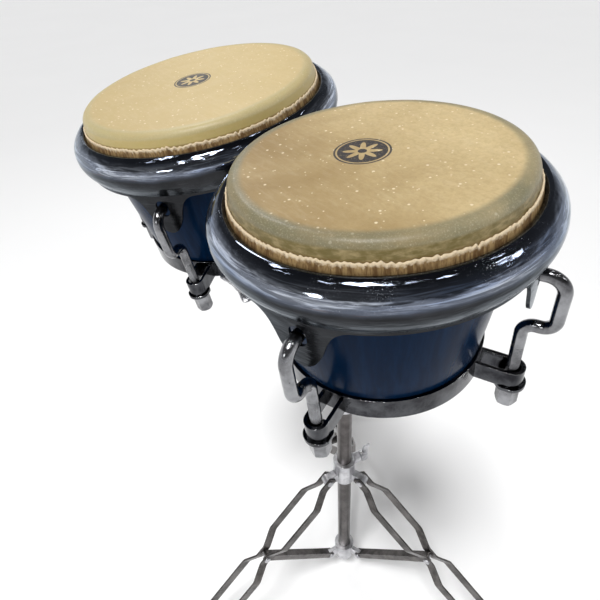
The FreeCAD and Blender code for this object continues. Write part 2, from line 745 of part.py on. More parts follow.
def clamp_jaw():
    """Moving jaw in front of the block, with a hole for the clamp screw."""
    body = new_body("clamp_jaw", DECK)
    face = "-block_width / 2 - pad_thick"
    low = "-screw_drop - 10"
    corners = [(f"{face} - clamp_plate", low), (face, low), (face, "-jaw_top"),
               (f"{face} - clamp_plate", "-jaw_top")]
    pad(body, outline(body, "jaw_side", "YZ_Plane", corners), "jaw_width")
    hole = ring_outline(body, "jaw_hole", "XZ_Plane", "0", "-screw_drop", "screw_radius + turn_gap")
    pocket(body, hole)
    half, top = value("block_width / 2"), -value("jaw_top")
    rise = value("block_height / 2") + top
    jaw_pad = Part.makeBox(value("jaw_width"), value("pad_thick"), rise,
                           Vector(-value("jaw_width") / 2, -half - value("pad_thick"), top - rise))
    solid_part("clamp_jaw_pad", jaw_pad, DECK)


def winged(name, shank, length, hub, hub_length):
    """Wing bolt along +Z: shank, round hub and two flat lobes, as one casting."""
    stem = cylinder(name + "_stem", shank, length)
    core = cylinder(name + "_core", hub, hub_length, at(0, 0, value(length)))
    middle = value(length) + value(hub_length)
    pieces = [stem, core]
    for sign in (-1, 1):
        lobe = cylinder(f"{name}_lobe_{sign + 1}", "wing_lobe", "wing_thick",
                        Placement(Vector(sign * value("wing_reach"), value("wing_thick") / 2, middle),
                                  Rotation(X_AXIS, 90)))
        pieces.append(lobe)
    web = box(name + "_web", "2 * wing_reach", "wing_thick", "wing_lobe",
              at(-value("wing_reach"), -value("wing_thick") / 2, middle - value("wing_lobe") / 2))
    return fused(name, pieces + [web])


def clamp_screw():
    """Wing screw that pulls the moving jaw towards the fixed one."""
    front = -value("block_width / 2 + pad_thick + clamp_plate")
    inside = front - value("screw_shoulder")
    screw = winged("clamp_screw", "screw_radius", "screw_length + screw_shoulder", "wing_hub",
                   "wing_hub_length")
    shoulder = cylinder("clamp_screw_shoulder", "wing_hub", "screw_shoulder",
                        at(0, 0, value("screw_length")))
    screw.Shapes = screw.Shapes + [shoulder]
    start = Vector(0, inside + value("screw_length + screw_shoulder"), -value("screw_drop"))
    keep(screw, "clamp_screw", DECK * Placement(start, Rotation(X_AXIS, 90)))


def tilter_head():
    """Arm under the bracket that ends in a fork round the tilter's tongue."""
    under = -value("block_height / 2 + pad_thick + clamp_plate")
    low = under - value("beam_height")
    back, drop, disc = value("pivot_back"), value("pivot_drop"), value("tilter_disc")
    half = value("tongue_half + cheek_gap + cheek_thick")
    slant = disc * math.sin(math.radians(45))
    front, heel = -value("arm_front"), value("arm_heel")
    points = [(front, under), (back - value("arm_shoulder"), under), (back + slant, slant - drop),
              (back - slant, -slant - drop), (heel, low), (front, low)]
    corners = [Vector(-half, y, z) for y, z in points]
    arm = Part.Face(Part.makePolygon(corners + corners[:1])).extrude(Vector(2 * half, 0, 0))
    eye = Vector(-half, back, -drop)
    shape = arm.fuse(Part.makeCylinder(disc, 2 * half, eye, X_AXIS))
    gap = value("tongue_half + cheek_gap")
    slot = Part.makeCylinder(disc + value("tongue_room"), 2 * gap, Vector(-gap, back, -drop), X_AXIS)
    bore = Part.makeCylinder(value("pivot_radius + turn_gap"), 2 * half, eye, X_AXIS)
    thread = Part.makeCylinder(value("screw_radius + turn_gap"), 60,
                               Vector(0, -20, -value("screw_drop")), Y_AXIS)
    shape = shape.cut([slot, bore, thread]).removeSplitter()
    solid_part("tilter_head", shape, DECK)


def tilter_base():
    """Socket on top of the mast with an upright tongue for the fork."""
    base = PIVOT_HEIGHT - value("tilter_disc + tongue_room + socket_roof + socket_length")
    top = "socket_length + socket_roof"
    swivel_at = base + value("swivel_rise")
    socket = cylinder("socket", "socket_radius", top, at(0, 0, base))
    bore = cylinder("socket_bore", "mast_radius + turn_gap", "socket_length", at(0, 0, base))
    side = Rotation(Y_AXIS, 90)
    half = value("tongue_half")
    disc = cylinder("tongue_disc", "tilter_disc", "2 * tongue_half",
                    Placement(Vector(-half, 0, PIVOT_HEIGHT), side))
    web = box("tongue_web", "2 * tongue_half", "tongue_web", "tilter_disc + tongue_sink",
              at(-half, -value("tongue_web") / 2, PIVOT_HEIGHT - value("tilter_disc + tongue_sink")))
    boss = cylinder("socket_boss", "boss_radius", "boss_reach",
                    at(0, 0, swivel_at, Rotation(X_AXIS, -90)))
    eye = cylinder("tongue_eye", "pivot_radius", "2 * tongue_half",
                   Placement(Vector(-half, 0, PIVOT_HEIGHT), side))
    thread = cylinder("socket_thread", "wing_shank + turn_gap", "boss_reach",
                      at(0, 0, swivel_at, Rotation(X_AXIS, -90)))
    solid = fused("tilter_base_solid", [socket, disc, web, boss])
    keep(cut("tilter_base", solid, [bore, eye, thread]), "tilter_base")
    bolt = winged("swivel_wing_bolt", "wing_shank", "boss_reach - mast_radius + 1.5", "wing_hub",
                  "wing_hub_length")
    keep(bolt, "swivel_wing_bolt", at(0, value("mast_radius"), swivel_at, Rotation(X_AXIS, -90)))


def tilt_bolt():
    """Bolt through the fork and tongue, and its wing nut on the +X side."""
    half = value("tongue_half + cheek_gap + cheek_thick")
    side = Rotation(Y_AXIS, 90)
    clear, head_height = value("cheek_gap"), value("bolt_dome")
    rod = cylinder("tilt_rod", "pivot_radius", f"{2 * half} + tilt_tail",
                   Placement(Vector(-half - clear, 0, PIVOT_HEIGHT), side))
    head = cylinder("tilt_head", "wing_hub", "bolt_dome",
                    Placement(Vector(-half - clear - head_height, 0, PIVOT_HEIGHT), side))
    keep(fused("tilt_bolt", [rod, head]), "tilt_bolt")
    nut = winged("tilt_nut_casting", "wing_hub", "2", "wing_hub", "wing_hub_length")
    bore = cylinder("tilt_nut_bore", "pivot_radius + turn_gap", "40", at(0, 0, -5))
    place = Placement(Vector(half + clear, 0, PIVOT_HEIGHT), side)
    keep(cut("tilt_wing_nut", nut, [bore]), "tilt_wing_nut", place)


# ---------------------------------------------------------------- stand

def tubes():
    """Outer tube, sliding mast and the plastic bushing between them."""
    low = HUB_HEIGHT - value("tube_tail")
    outer = cylinder("outer_tube_skin", "tube_radius", "outer_length")
    bore = cylinder("outer_tube_bore", "tube_radius - tube_wall", "outer_length")
    keep(cut("outer_tube", outer, [bore]), "outer_tube", at(0, 0, low))
    bottom = value("mast_bottom")
    reach = PIVOT_HEIGHT - value("tilter_disc + tongue_room + socket_roof") - bottom
    rod = cylinder("mast_skin", "mast_radius", f"{reach}")
    hollow = cylinder("mast_bore", "mast_radius - mast_wall", f"{reach}")
    keep(cut("mast", rod, [hollow]), "mast", at(0, 0, bottom))
    sleeve = cylinder("bushing_skin", "tube_radius - tube_wall", "bushing_length")
    hole = cylinder("bushing_bore", "mast_radius + turn_gap", "bushing_length")
    keep(cut("bushing", sleeve, [hole]), "bushing", at(0, 0, TUBE_TOP - value("bushing_length")))


def radial(turn, height):
    """Placement whose local X axis points outwards at a turn, at a height on the tube."""
    return at(0, 0, height) * about(Z_AXIS, turn)


def height_clamp():
    """Casting on the top of the outer tube that grips the mast with a wing bolt."""
    low = TUBE_TOP - value("clamp_below")
    casting = cylinder("height_casting", "hub_radius", "clamp_below + clamp_above", at(0, 0, low))
    seat = cylinder("height_seat", "tube_radius", "clamp_below", at(0, 0, low))
    neck = cylinder("height_neck", "mast_radius + turn_gap", "clamp_above", at(0, 0, TUBE_TOP))
    across = radial(WING_TURN, TUBE_TOP - value("clamp_bolt_drop")) * about(Y_AXIS, 90)
    boss = cylinder("height_boss", "boss_radius", "boss_reach", across)
    thread = cylinder("height_thread", "wing_shank + turn_gap", "boss_reach + 1", across)
    solid = fused("height_solid", [casting, boss])
    keep(cut("height_clamp", solid, [seat, neck, thread]), "height_clamp")
    bolt = winged("height_wing_bolt", "wing_shank", "boss_reach - tube_radius + 1.5", "wing_hub",
                  "wing_hub_length")
    keep(bolt, "height_wing_bolt", across * at(0, 0, value("tube_radius")) * about(Z_AXIS, 90))


def eared_sleeve(label, height, below, above, bore, ear_thick, closed):
    """Round casting on the tube with three ears, one for each leg."""
    body = new_body(label, at(0, 0, height) * about(Z_AXIS, LEG_TURNS[0]))
    corners = [("0", f"-({below})"), ("hub_radius", f"-({below})"), ("hub_radius", above),
               ("0", above)]
    turned(body, outline(body, label + "_section", "XZ_Plane", corners))
    arm = outline(body, label + "_arm", "XZ_Plane",
                  [("hub_radius - 4", "-link_round"), ("link_radius", "-link_round"),
                   ("link_radius", "link_round"), ("hub_radius - 4", "link_round")])
    arm_pad = pad(body, arm, ear_thick)
    eye = ring_outline(body, label + "_eye", "XZ_Plane", "link_radius", "0", "link_round")
    eye_pad = pad(body, eye, ear_thick)
    thirds(body, [arm_pad, eye_pad])
    pin = ring_outline(body, label + "_pin", "XZ_Plane", "link_radius", "0", "rivet_radius")
    pin_cut = pocket(body, pin, ear_thick)
    thirds(body, [pin_cut])
    start = value(f"-({below})") + (3.0 if closed else -1.0)
    tube_cut = body.newObject("PartDesign::Pocket", label + "_bore")
    tube_cut.Profile = ring_outline(body, label + "_bore_ring", "XY_Plane", "0", "0", bore)
    tube_cut.Profile[0].AttachmentOffset = at(0, 0, start)
    tube_cut.Reversed = True
    bind(tube_cut, Length=f"({below}) + ({above}) + 4")
    body.Tip = tube_cut
    return body


def lower_hub():
    eared_sleeve("lower_hub", HUB_HEIGHT, "hub_below + 1", "hub_above", "tube_radius",
                 "hub_ear_thick", True)


def leg_collar():
    """Collar that slides on the tube and carries the tops of the legs."""
    body = eared_sleeve("leg_collar", COLLAR_HEIGHT, "collar_below", "collar_above",
                        "tube_radius + turn_gap", "ear_thick", False)
    turn = WING_TURN - LEG_TURNS[0]
    nodes.remove(body)
    across = at(0, 0, value("collar_bolt_rise")) * about(Z_AXIS, turn) * about(Y_AXIS, 90)
    boss = cylinder("collar_boss", "boss_radius", "boss_reach", across)
    room = cylinder("collar_room", "tube_radius + turn_gap", "collar_below + collar_above",
                    at(0, 0, -value("collar_below")))
    thread = cylinder("collar_thread", "wing_shank + turn_gap", "boss_reach + 1", across)
    place = body.Placement
    body.Placement = Placement()
    body.Label = "collar_casting"
    solid = fused("collar_solid", [body, boss])
    keep(cut("leg_collar_cut", solid, [room, thread]), "leg_collar", place)
    bolt = winged("collar_wing_bolt", "wing_shank", "boss_reach - tube_radius + 1.5", "wing_hub",
                  "wing_hub_length")
    inner = at(0, 0, value("tube_radius + turn_gap"))
    keep(bolt, "collar_wing_bolt", place * across * inner)


def rivet(length):
    """Headed pin along Y, centred on the origin."""
    radius, head, cap = value("rivet_radius"), value("rivet_head"), value("rivet_cap")
    pin = Part.makeCylinder(radius, length, Vector(0, -length / 2, 0), Y_AXIS)
    caps = []
    for sign in (-1, 1):
        button = Part.makeCylinder(head, cap, Vector(0, sign * length / 2, 0), Y_AXIS * sign)
        outer = [edge for edge in button.Edges
                 if abs(abs(edge.CenterOfMass.y) - length / 2 - cap) < 0.01]
        caps.append(button.makeFillet(0.8 * cap, outer))
    return pin.fuse(caps)


def rivets(label, height, length):
    """Three rivets in the ears of a sleeve."""
    pins = []
    for turn in LEG_TURNS:
        pin = rivet(length)
        pin.Placement = radial(turn, height) * at(value("link_radius"))
        pins.append(pin)
    solid_part(label, Part.makeCompound(pins))


def brace(index, turn):
    """Formed channel from the hub up to the middle of a leg."""
    place = radial(turn, HUB_HEIGHT) * at(value("link_radius")) * about(Y_AXIS, -LINK_ANGLE)
    body = new_body(f"brace_{index}", place)
    half = "brace_width / 2"
    corners = [("0", f"-{half}"), ("link_length", f"-{half}"), ("link_length", half), ("0", half)]
    name = f"brace_{index}"
    pad(body, outline(body, name + "_side", "XZ_Plane", corners), "ear_thick")
    for end, across in (("start", "0"), ("end", "link_length")):
        pad(body, ring_outline(body, f"{name}_{end}", "XZ_Plane", across, "0", half), "ear_thick")
    inner = "hub_ear_thick / 2 + side_gap"
    slot = outline(body, name + "_channel", "XY_Plane",
                   [("-link_round - 2", f"-({inner})"), ("link_length + 10", f"-({inner})"),
                    ("link_length + 10", inner), ("-link_round - 2", inner)])
    slot.AttachmentOffset = at(0, 0, -value("brace_width") / 2 - 1)
    channel = body.newObject("PartDesign::Pocket", name + "_channel_cut")
    channel.Profile = slot
    channel.Reversed = True
    bind(channel, Length="brace_width - brace_sheet + 1")
    for end, across in (("start", "0"), ("end", "link_length")):
        radius = "rivet_radius + turn_gap"
        pocket(body, ring_outline(body, f"{name}_{end}_hole", "XZ_Plane", across, "0", radius))
    relief = outline(body, name + "_relief", "XZ_Plane",
                     [("-brace_width", "-brace_width"), ("link_round + 2", "-brace_width"),
                      ("link_round + 2", "brace_width"), ("-brace_width", "brace_width")])
    pocket(body, relief, f"2 * ({inner})")
    return body


def leg(index, turn):
    """Two bowed strips side by side, a rivet where the brace joins, and a rubber foot."""
    name = f"leg_{index}"
    place = radial(turn, COLLAR_HEIGHT) * at(value("link_radius")) * about(Y_AXIS, LINK_ANGLE)
    near = value("ear_thick / 2 + side_gap + strip_thick / 2")
    bow, link, length = value("strip_bow"), value("link_length"), value("leg_length")
    waist, ramp = value("waist_half"), value("waist_half + bow_ramp")
    ankle, ankle_ramp = value("ankle_flat"), value("ankle_flat + ankle_ramp")
    runs = [(-value("strip_tail"), near), (value("strip_flat"), near),
            (value("strip_flat + bow_ramp"), bow), (link - ramp, bow), (link - waist, near),
            (link + waist, near), (link + ramp, bow), (length - ankle_ramp, bow),
            (length - ankle, near), (length - value("strip_toe"), near)]
    strip = ribbon([Vector(x, y, 0) for x, y in runs], value("strip_thick"), value("strip_bend"),
                   value("strip_width"))
    holes = [Part.makeCylinder(value("rivet_radius + turn_gap"), 60, Vector(0, -30, 0), Y_AXIS),
             Part.makeCylinder(value("rivet_radius"), 60, Vector(link, -30, 0), Y_AXIS)]
    strip = strip.cut(holes)
    twin = strip.mirror(ORIGIN, Y_AXIS)
    solid_part(name + "_strips", Part.makeCompound([strip, twin]), place)
    pin = rivet(value("ear_thick + 2 * side_gap + 2 * strip_thick"))
    solid_part(name + "_rivet", pin, place * at(link))
    foot(name + "_foot", [strip, twin], place, turn)


def foot(label, strips, place, turn):
    """Round rubber foot standing on the floor, with pockets for the ends of the strips."""
    end = place.multVec(Vector(value("leg_length"), 0, 0))
    body = Part.makeCylinder(value("foot_radius"), value("foot_height"), Vector(end.x, end.y, 0))
    top = [edge for edge in body.Edges if edge.CenterOfMass.z > value("foot_height") - 0.1]
    low = [edge for edge in body.Edges if edge.CenterOfMass.z < 0.1
           and len(edge.Vertexes) == 1]
    body = body.makeFillet(4.0, top).makeChamfer(1.2, low)
    tools = []
    for strip in strips:
        tool = strip.copy()
        tool.Placement = place * tool.Placement
        tools.append(tool)
    solid_part(label, body.cut(tools))


def stand_pieces():
    tubes()
    height_clamp()
    lower_hub()
    leg_collar()
    rivets("hub_rivets", HUB_HEIGHT, value("ear_thick + 2 * turn_gap"))
    over_strips = value("ear_thick + 2 * side_gap + 2 * strip_thick + 2 * turn_gap")
    rivets("collar_rivets", COLLAR_HEIGHT, over_strips)
    for index, turn in enumerate(LEG_TURNS, start=1):
        brace(index, turn)
        leg(index, turn)


# ---------------------------------------------------------------- build, check, write

def check(items):
    """Stop if anything failed to build."""
    for item in doc.Objects:
        if "Invalid" in item.State or "Error" in item.State:
            raise RuntimeError(f"{item.Name}: {item.State}")
    for item in items:
        if item.Shape.isNull() or not item.Shape.isValid() or not item.Shape.Solids:
            raise RuntimeError(f"{item.Label}: empty or broken shape")


def main():
    for drum in (SMALL, LARGE):
        drum_pieces(drum)
    ear_washers()
    block_pieces()
    clamp_bracket()
    clamp_pads()
    clamp_jaw()
    clamp_screw()
    tilter_head()
    tilter_base()
    tilt_bolt()
    stand_pieces()
    doc.recompute()
    check(nodes)
    os.makedirs("parts", exist_ok=True)
    for item in nodes:
        item.Shape.exportStep(os.path.join("parts", item.Label + ".step"))
    print(len(nodes), "sub-parts written")


main()
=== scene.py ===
"""Looks of a pair of bongo drums on a folding tripod stand.

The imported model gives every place.  New surfaces are worked out with numpy for the skins, their
trimmed flaps, the tuning hooks, the nuts, the wing bolts and the rubber feet; every other piece
keeps its shape and gets its finish here.  Metres throughout, +Z up, the front is -Y.
"""

import json
import logging
import math
from dataclasses import dataclass, field
from enum import Enum

import bpy
import numpy as np
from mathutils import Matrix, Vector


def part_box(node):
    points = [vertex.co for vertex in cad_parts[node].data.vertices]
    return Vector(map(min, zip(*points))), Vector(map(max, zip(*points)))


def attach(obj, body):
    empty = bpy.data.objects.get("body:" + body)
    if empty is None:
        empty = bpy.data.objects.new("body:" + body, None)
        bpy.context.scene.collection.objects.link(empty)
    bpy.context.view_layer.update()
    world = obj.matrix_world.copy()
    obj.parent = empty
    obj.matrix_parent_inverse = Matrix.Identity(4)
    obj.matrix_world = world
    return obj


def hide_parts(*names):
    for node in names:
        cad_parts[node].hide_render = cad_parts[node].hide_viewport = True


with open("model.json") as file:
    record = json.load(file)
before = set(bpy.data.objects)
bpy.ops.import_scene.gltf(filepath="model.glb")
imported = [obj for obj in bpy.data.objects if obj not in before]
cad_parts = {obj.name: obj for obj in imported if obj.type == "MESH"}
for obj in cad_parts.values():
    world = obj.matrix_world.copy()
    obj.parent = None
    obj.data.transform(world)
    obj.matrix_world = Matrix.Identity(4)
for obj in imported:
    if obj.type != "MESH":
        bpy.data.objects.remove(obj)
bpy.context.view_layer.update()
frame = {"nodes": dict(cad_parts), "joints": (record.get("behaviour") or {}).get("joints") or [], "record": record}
log = logging.getLogger("bongos")

MM = 0.001
Socket = bpy.types.NodeSocket
Colour = tuple[float, float, float]
Span = tuple[float, float]


# ---------------------------------------------------------------- surfaces

def grid_faces(rows: int, columns: int, wrap_rows: bool, wrap_columns: bool) -> np.ndarray:
    """Quads that join neighbours of a grid of points.

    Args:
        rows: Number of rows of points.
        columns: Number of points in a row.
        wrap_rows: Whether the last row joins the first.
        wrap_columns: Whether the last point of a row joins its first.

    Returns:
        Array of shape (quads, 4) with point numbers.
    """
    i, j = np.meshgrid(np.arange(rows - (not wrap_rows)), np.arange(columns - (not wrap_columns)),
                       indexing="ij")
    down, along = (i + 1) % rows, (j + 1) % columns
    corners = (i * columns + j, i * columns + along, down * columns + along, down * columns + j)
    return np.stack([corner.ravel() for corner in corners], 1)


def facing_out(points: np.ndarray, triangles: np.ndarray) -> bool:
    """Whether triangles face outwards: the solid they close has a positive volume."""
    a, b, c = (points[triangles[:, k]] for k in range(3))
    return float(np.einsum("ij,ij->i", a, np.cross(b, c)).sum()) > 0


def surface(name: str, grid: np.ndarray, wrap_rows: bool = False,
            edge: np.ndarray | None = None) -> bpy.types.Object:
    """Closed object from grids of points whose columns run all the way round.

    Each grid is a tube or a ring.  An open tube's first and last rows are closed with a fan of
    triangles round the row's middle point.  Faces are turned outwards by the sign of the volume.

    Args:
        name: Name of the new object.
        grid: Points of shape (copies, rows, columns, 3).
        wrap_rows: Whether the last row joins the first, as on a ring.
        edge: Optional value for each point, kept as the attribute "edge".

    Returns:
        The new object, at the origin, with its place in its mesh.
    """
    copies, rows, columns, _ = grid.shape
    count = rows * columns
    shifts = np.arange(copies)[:, None, None]
    points = grid.reshape(-1, 3)
    quads = (grid_faces(rows, columns, wrap_rows, True)[None] + shifts * count).reshape(-1, 4)
    triangles = np.zeros((0, 3), int)
    if not wrap_rows:
        middles = np.concatenate([grid[:, 0].mean(1), grid[:, -1].mean(1)])
        ring, onward = np.arange(columns), (np.arange(columns) + 1) % columns
        first = np.stack([onward, ring, np.full(columns, -1)], 1)[None] + shifts * count
        last = np.stack([ring, onward, np.full(columns, -1)], 1)[None] + (
            shifts * count + count - columns)
        first[:, :, 2] = len(points) + np.arange(copies)[:, None]
        last[:, :, 2] = len(points) + copies + np.arange(copies)[:, None]
        triangles = np.concatenate([first.reshape(-1, 3), last.reshape(-1, 3)])
        points = np.concatenate([points, middles])
    every = np.concatenate([quads[:, :3], quads[:, [0, 2, 3]], triangles])
    if not facing_out(points, every):
        quads, triangles = quads[:, ::-1], triangles[:, ::-1]
    mesh = bpy.data.meshes.new(name)
    mesh.from_pydata(points.tolist(), [], quads.tolist() + triangles.tolist())
    mesh.shade_smooth()
    if edge is not None:
        layer = mesh.attributes.new("edge", "FLOAT", "POINT")
        values = np.zeros(len(points), np.float32)
        values[:edge.size] = edge.ravel()
        layer.data.foreach_set("value", values)
    item = bpy.data.objects.new(name, mesh)
    bpy.context.scene.collection.objects.link(item)
    return item


def spin(profile: np.ndarray, columns: int) -> np.ndarray:
    """Points of a profile turned about Z: (r cos a, r sin a, z) for every angle a.

    Args:
        profile: Points (r, z) of shape (rows, 2), or (rows, columns, 2) where it changes round.
        columns: Number of angles.

    Returns:
        Points of shape (rows, columns, 3).
    """
    angle = np.linspace(0, 2 * np.pi, columns, endpoint=False)
    if profile.ndim == 2:
        profile = np.repeat(profile[:, None], columns, 1)
    r, z = profile[..., 0], profile[..., 1]
    return np.stack([r * np.cos(angle), r * np.sin(angle), z], -1)


def rounded_line(corners: np.ndarray, radii: list[float], step: float) -> np.ndarray:
    """Evenly spaced points on straight runs whose corners are tangent arcs.

    A corner of half angle h and radius R starts its arc R / tan(h) before the corner, and the
    arc's centre is R / sin(h) from it along the bisector of the two runs.

    Args:
        corners: Corner points of shape (n, 2).
        radii: Radius at each inner corner.
        step: Distance between neighbouring points.

    Returns:
        Points of shape (m, 2).
    """
    pieces = [corners[:1]]
    for before, corner, after, radius in zip(corners, corners[1:], corners[2:], radii):
        back, ahead = before - corner, after - corner
        back, ahead = back / np.linalg.norm(back), ahead / np.linalg.norm(ahead)
        half = math.acos(float(np.clip(back @ ahead, -1, 1))) / 2
        bisector = (back + ahead) / np.linalg.norm(back + ahead)
        centre = corner + bisector * radius / math.sin(half)
        start, end = corner + back * radius / math.tan(half), corner + ahead * radius / math.tan(half)
        share = np.linspace(0, 1, 24)[:, None]
        chord = (start - centre) * (1 - share) + (end - centre) * share
        pieces.append(centre + chord / np.linalg.norm(chord, axis=1, keepdims=True) * radius)
    pieces.append(corners[-1:])
    path = np.concatenate(pieces)
    lengths = np.concatenate([[0], np.cumsum(np.linalg.norm(np.diff(path, axis=0), axis=1))])
    wanted = np.linspace(0, lengths[-1], int(lengths[-1] / step) + 1)
    return np.stack([np.interp(wanted, lengths, path[:, k]) for k in range(2)], 1)


def ripple(angle: np.ndarray, waves: tuple[int, int], count: int, seed: int) -> np.ndarray:
    """Wobble round a ring: the mean of sines with whole wave numbers and seeded phases.

    Args:
        angle: Angles round the ring.
        waves: Lowest and highest number of waves in a turn.
        count: How many sines are summed.
        seed: Seed of the wave numbers and phases.

    Returns:
        Values about as large as 1, one for each angle.
    """
    rng = np.random.default_rng(seed)
    numbers = rng.integers(waves[0], waves[1] + 1, count)
    phases = rng.uniform(0, 2 * np.pi, count)
    turns = np.multiply.outer(np.asarray(angle), numbers) + phases
    return np.sin(turns).sum(-1) / math.sqrt(count / 2)


# ---------------------------------------------------------------- materials

class Recipe:
    """Node tree of one material, with a short call for each kind of node."""

    def __init__(self, name: str, **sockets: float | Colour) -> None:
        """Start a material whose shader has these constant values on its own sockets."""
        self.material = bpy.data.materials.new(name)
        self.material.use_nodes = True
        self.tree = self.material.node_tree
        self.shader = self.tree.nodes["Principled BSDF"]
        self.object_point = self.put("ShaderNodeTexCoord").outputs["Object"]
        for label, number in sockets.items():
            self.give(self.shader.inputs[label.replace("_", " ")], number)

    def give(self, socket: Socket, number: object) -> None:
        """Link a socket to another, or set its constant."""
        if isinstance(number, bpy.types.NodeSocket):
            self.tree.links.new(number, socket)
        elif isinstance(number, tuple) and len(number) == 3 and socket.type == "RGBA":
            socket.default_value = (*number, 1.0)
        else:
            socket.default_value = number

    def put(self, kind: str, *inputs: object, **settings: object) -> bpy.types.Node:
        """Add a node, set its options and fill its inputs in order."""
        node = self.tree.nodes.new(kind)
        for label, setting in settings.items():
            setattr(node, label, setting)
        for socket, number in zip(node.inputs, inputs):
            if number is not None:
                self.give(socket, number)
        return node

    def finish(self, colour: Socket, roughness: Socket | None = None,
               normal: Socket | None = None) -> bpy.types.Material:
        """Join the worked out colour, roughness and normal to the shader."""
        self.give(self.shader.inputs["Base Color"], colour)
        if roughness is not None:
            self.give(self.shader.inputs["Roughness"], roughness)
        if normal is not None:
            self.give(self.shader.inputs["Normal"], normal)
        return self.material

    def mapped(self, place: "Place", scale: Colour = (1, 1, 1)) -> Socket:
        """Object coordinates turned and moved into a drum's own frame, then stretched."""
        turn = place.turn()
        shift = tuple(float(x) for x in -(turn.T @ place.centre))
        local = self.put("ShaderNodeMapping", self.object_point, shift, (-place.tilt, 0, 0))
        return self.stretched(local.outputs[0], scale)

    def stretched(self, point: Socket, scale: Colour) -> Socket:
        """Coordinates times a scale on each axis."""
        return self.put("ShaderNodeVectorMath", point, scale, operation="MULTIPLY").outputs[0]

    def noise(self, point: Socket, scale: float, detail: float = 4.0, rough: float = 0.55,
              bend: float = 0.0) -> Socket:
        """Fractal noise from 0 to 1."""
        node = self.put("ShaderNodeTexNoise")
        for label, number in (("Vector", point), ("Scale", scale), ("Detail", detail),
                              ("Roughness", rough), ("Distortion", bend)):
            self.give(node.inputs[label], number)
        return node.outputs["Fac"]

    def cells(self, point: Socket, scale: float) -> tuple[Socket, Socket]:
        """Distance to the nearest seeded point, and that point's chance colour."""
        node = self.put("ShaderNodeTexVoronoi")
        self.give(node.inputs["Vector"], point)
        self.give(node.inputs["Scale"], scale)
        return node.outputs["Distance"], node.outputs["Color"]

    def sum(self, operation: str, a: object, b: object = 0.0) -> Socket:
        """One arithmetic step."""
        return self.put("ShaderNodeMath", a, b, operation=operation).outputs[0]

    def step(self, number: Socket, low: float, high: float) -> Socket:
        """Smooth rise from 0 at low to 1 at high, or a fall where low is above high."""
        node = self.put("ShaderNodeMapRange", number, low, high, interpolation_type="SMOOTHSTEP")
        if low > high:
            node.inputs[1].default_value, node.inputs[2].default_value = high, low
            node.inputs[3].default_value, node.inputs[4].default_value = 1.0, 0.0
        return node.outputs[0]

    def range(self, number: Socket, low: float, high: float) -> Socket:
        """A value from 0 to 1 spread between two limits."""
        return self.put("ShaderNodeMapRange", number, 0.0, 1.0, low, high).outputs[0]

    def mix(self, share: object, a: object, b: object, blend: str = "MIX") -> Socket:
        """Colour between a and b."""
        node = self.put("ShaderNodeMix", data_type="RGBA", blend_type=blend)
        self.give(node.inputs[0], share)
        self.give(node.inputs[6], a)
        self.give(node.inputs[7], b)
        return node.outputs[2]

    def bump(self, height: Socket, strength: float, depth: float,
             normal: Socket | None = None) -> Socket:
        """Normal tilted by a height."""
        node = self.put("ShaderNodeBump")
        self.give(node.inputs["Height"], height)
        self.give(node.inputs["Strength"], strength)
        self.give(node.inputs["Distance"], depth)
        if normal is not None:
            self.give(node.inputs["Normal"], normal)
        return node.outputs[0]

    def rounded_edges(self, radius: float) -> tuple[Socket, Socket]:
        """Normal softened near sharp edges, and how near an edge a point is."""
        soft = self.put("ShaderNodeBevel", radius, samples=4).outputs[0]
        hard = self.put("ShaderNodeNewGeometry").outputs["Normal"]
        alike = self.put("ShaderNodeVectorMath", soft, hard, operation="DOT_PRODUCT")
        return soft, self.step(alike.outputs["Value"], 0.995, 0.9)

    def parts(self, point: Socket) -> tuple[Socket, Socket, Socket, Socket]:
        """A point's x, y, z and its distance from the Z axis."""
        x, y, z = self.put("ShaderNodeSeparateXYZ", point).outputs
        flat = self.sum("ADD", self.sum("MULTIPLY", x, x), self.sum("MULTIPLY", y, y))
        return x, y, z, self.sum("SQRT", flat)


@dataclass(frozen=True)
class Place:
    """Centre of a drum's rim contact circle and its lean towards the front, in radians."""

    centre: np.ndarray
    tilt: float

    def turn(self) -> np.ndarray:
        """Rotation about X by the lean."""
        c, s = math.cos(self.tilt), math.sin(self.tilt)
        return np.array([[1, 0, 0], [0, c, -s], [0, s, c]])

    def to_world(self, points: np.ndarray) -> np.ndarray:
        """Points of the drum's own frame, in the shared frame."""
        return points @ self.turn().T + self.centre

    def to_local(self, points: np.ndarray) -> np.ndarray:
        """Points of the shared frame, in the drum's own frame."""
        return (points - self.centre) @ self.turn()


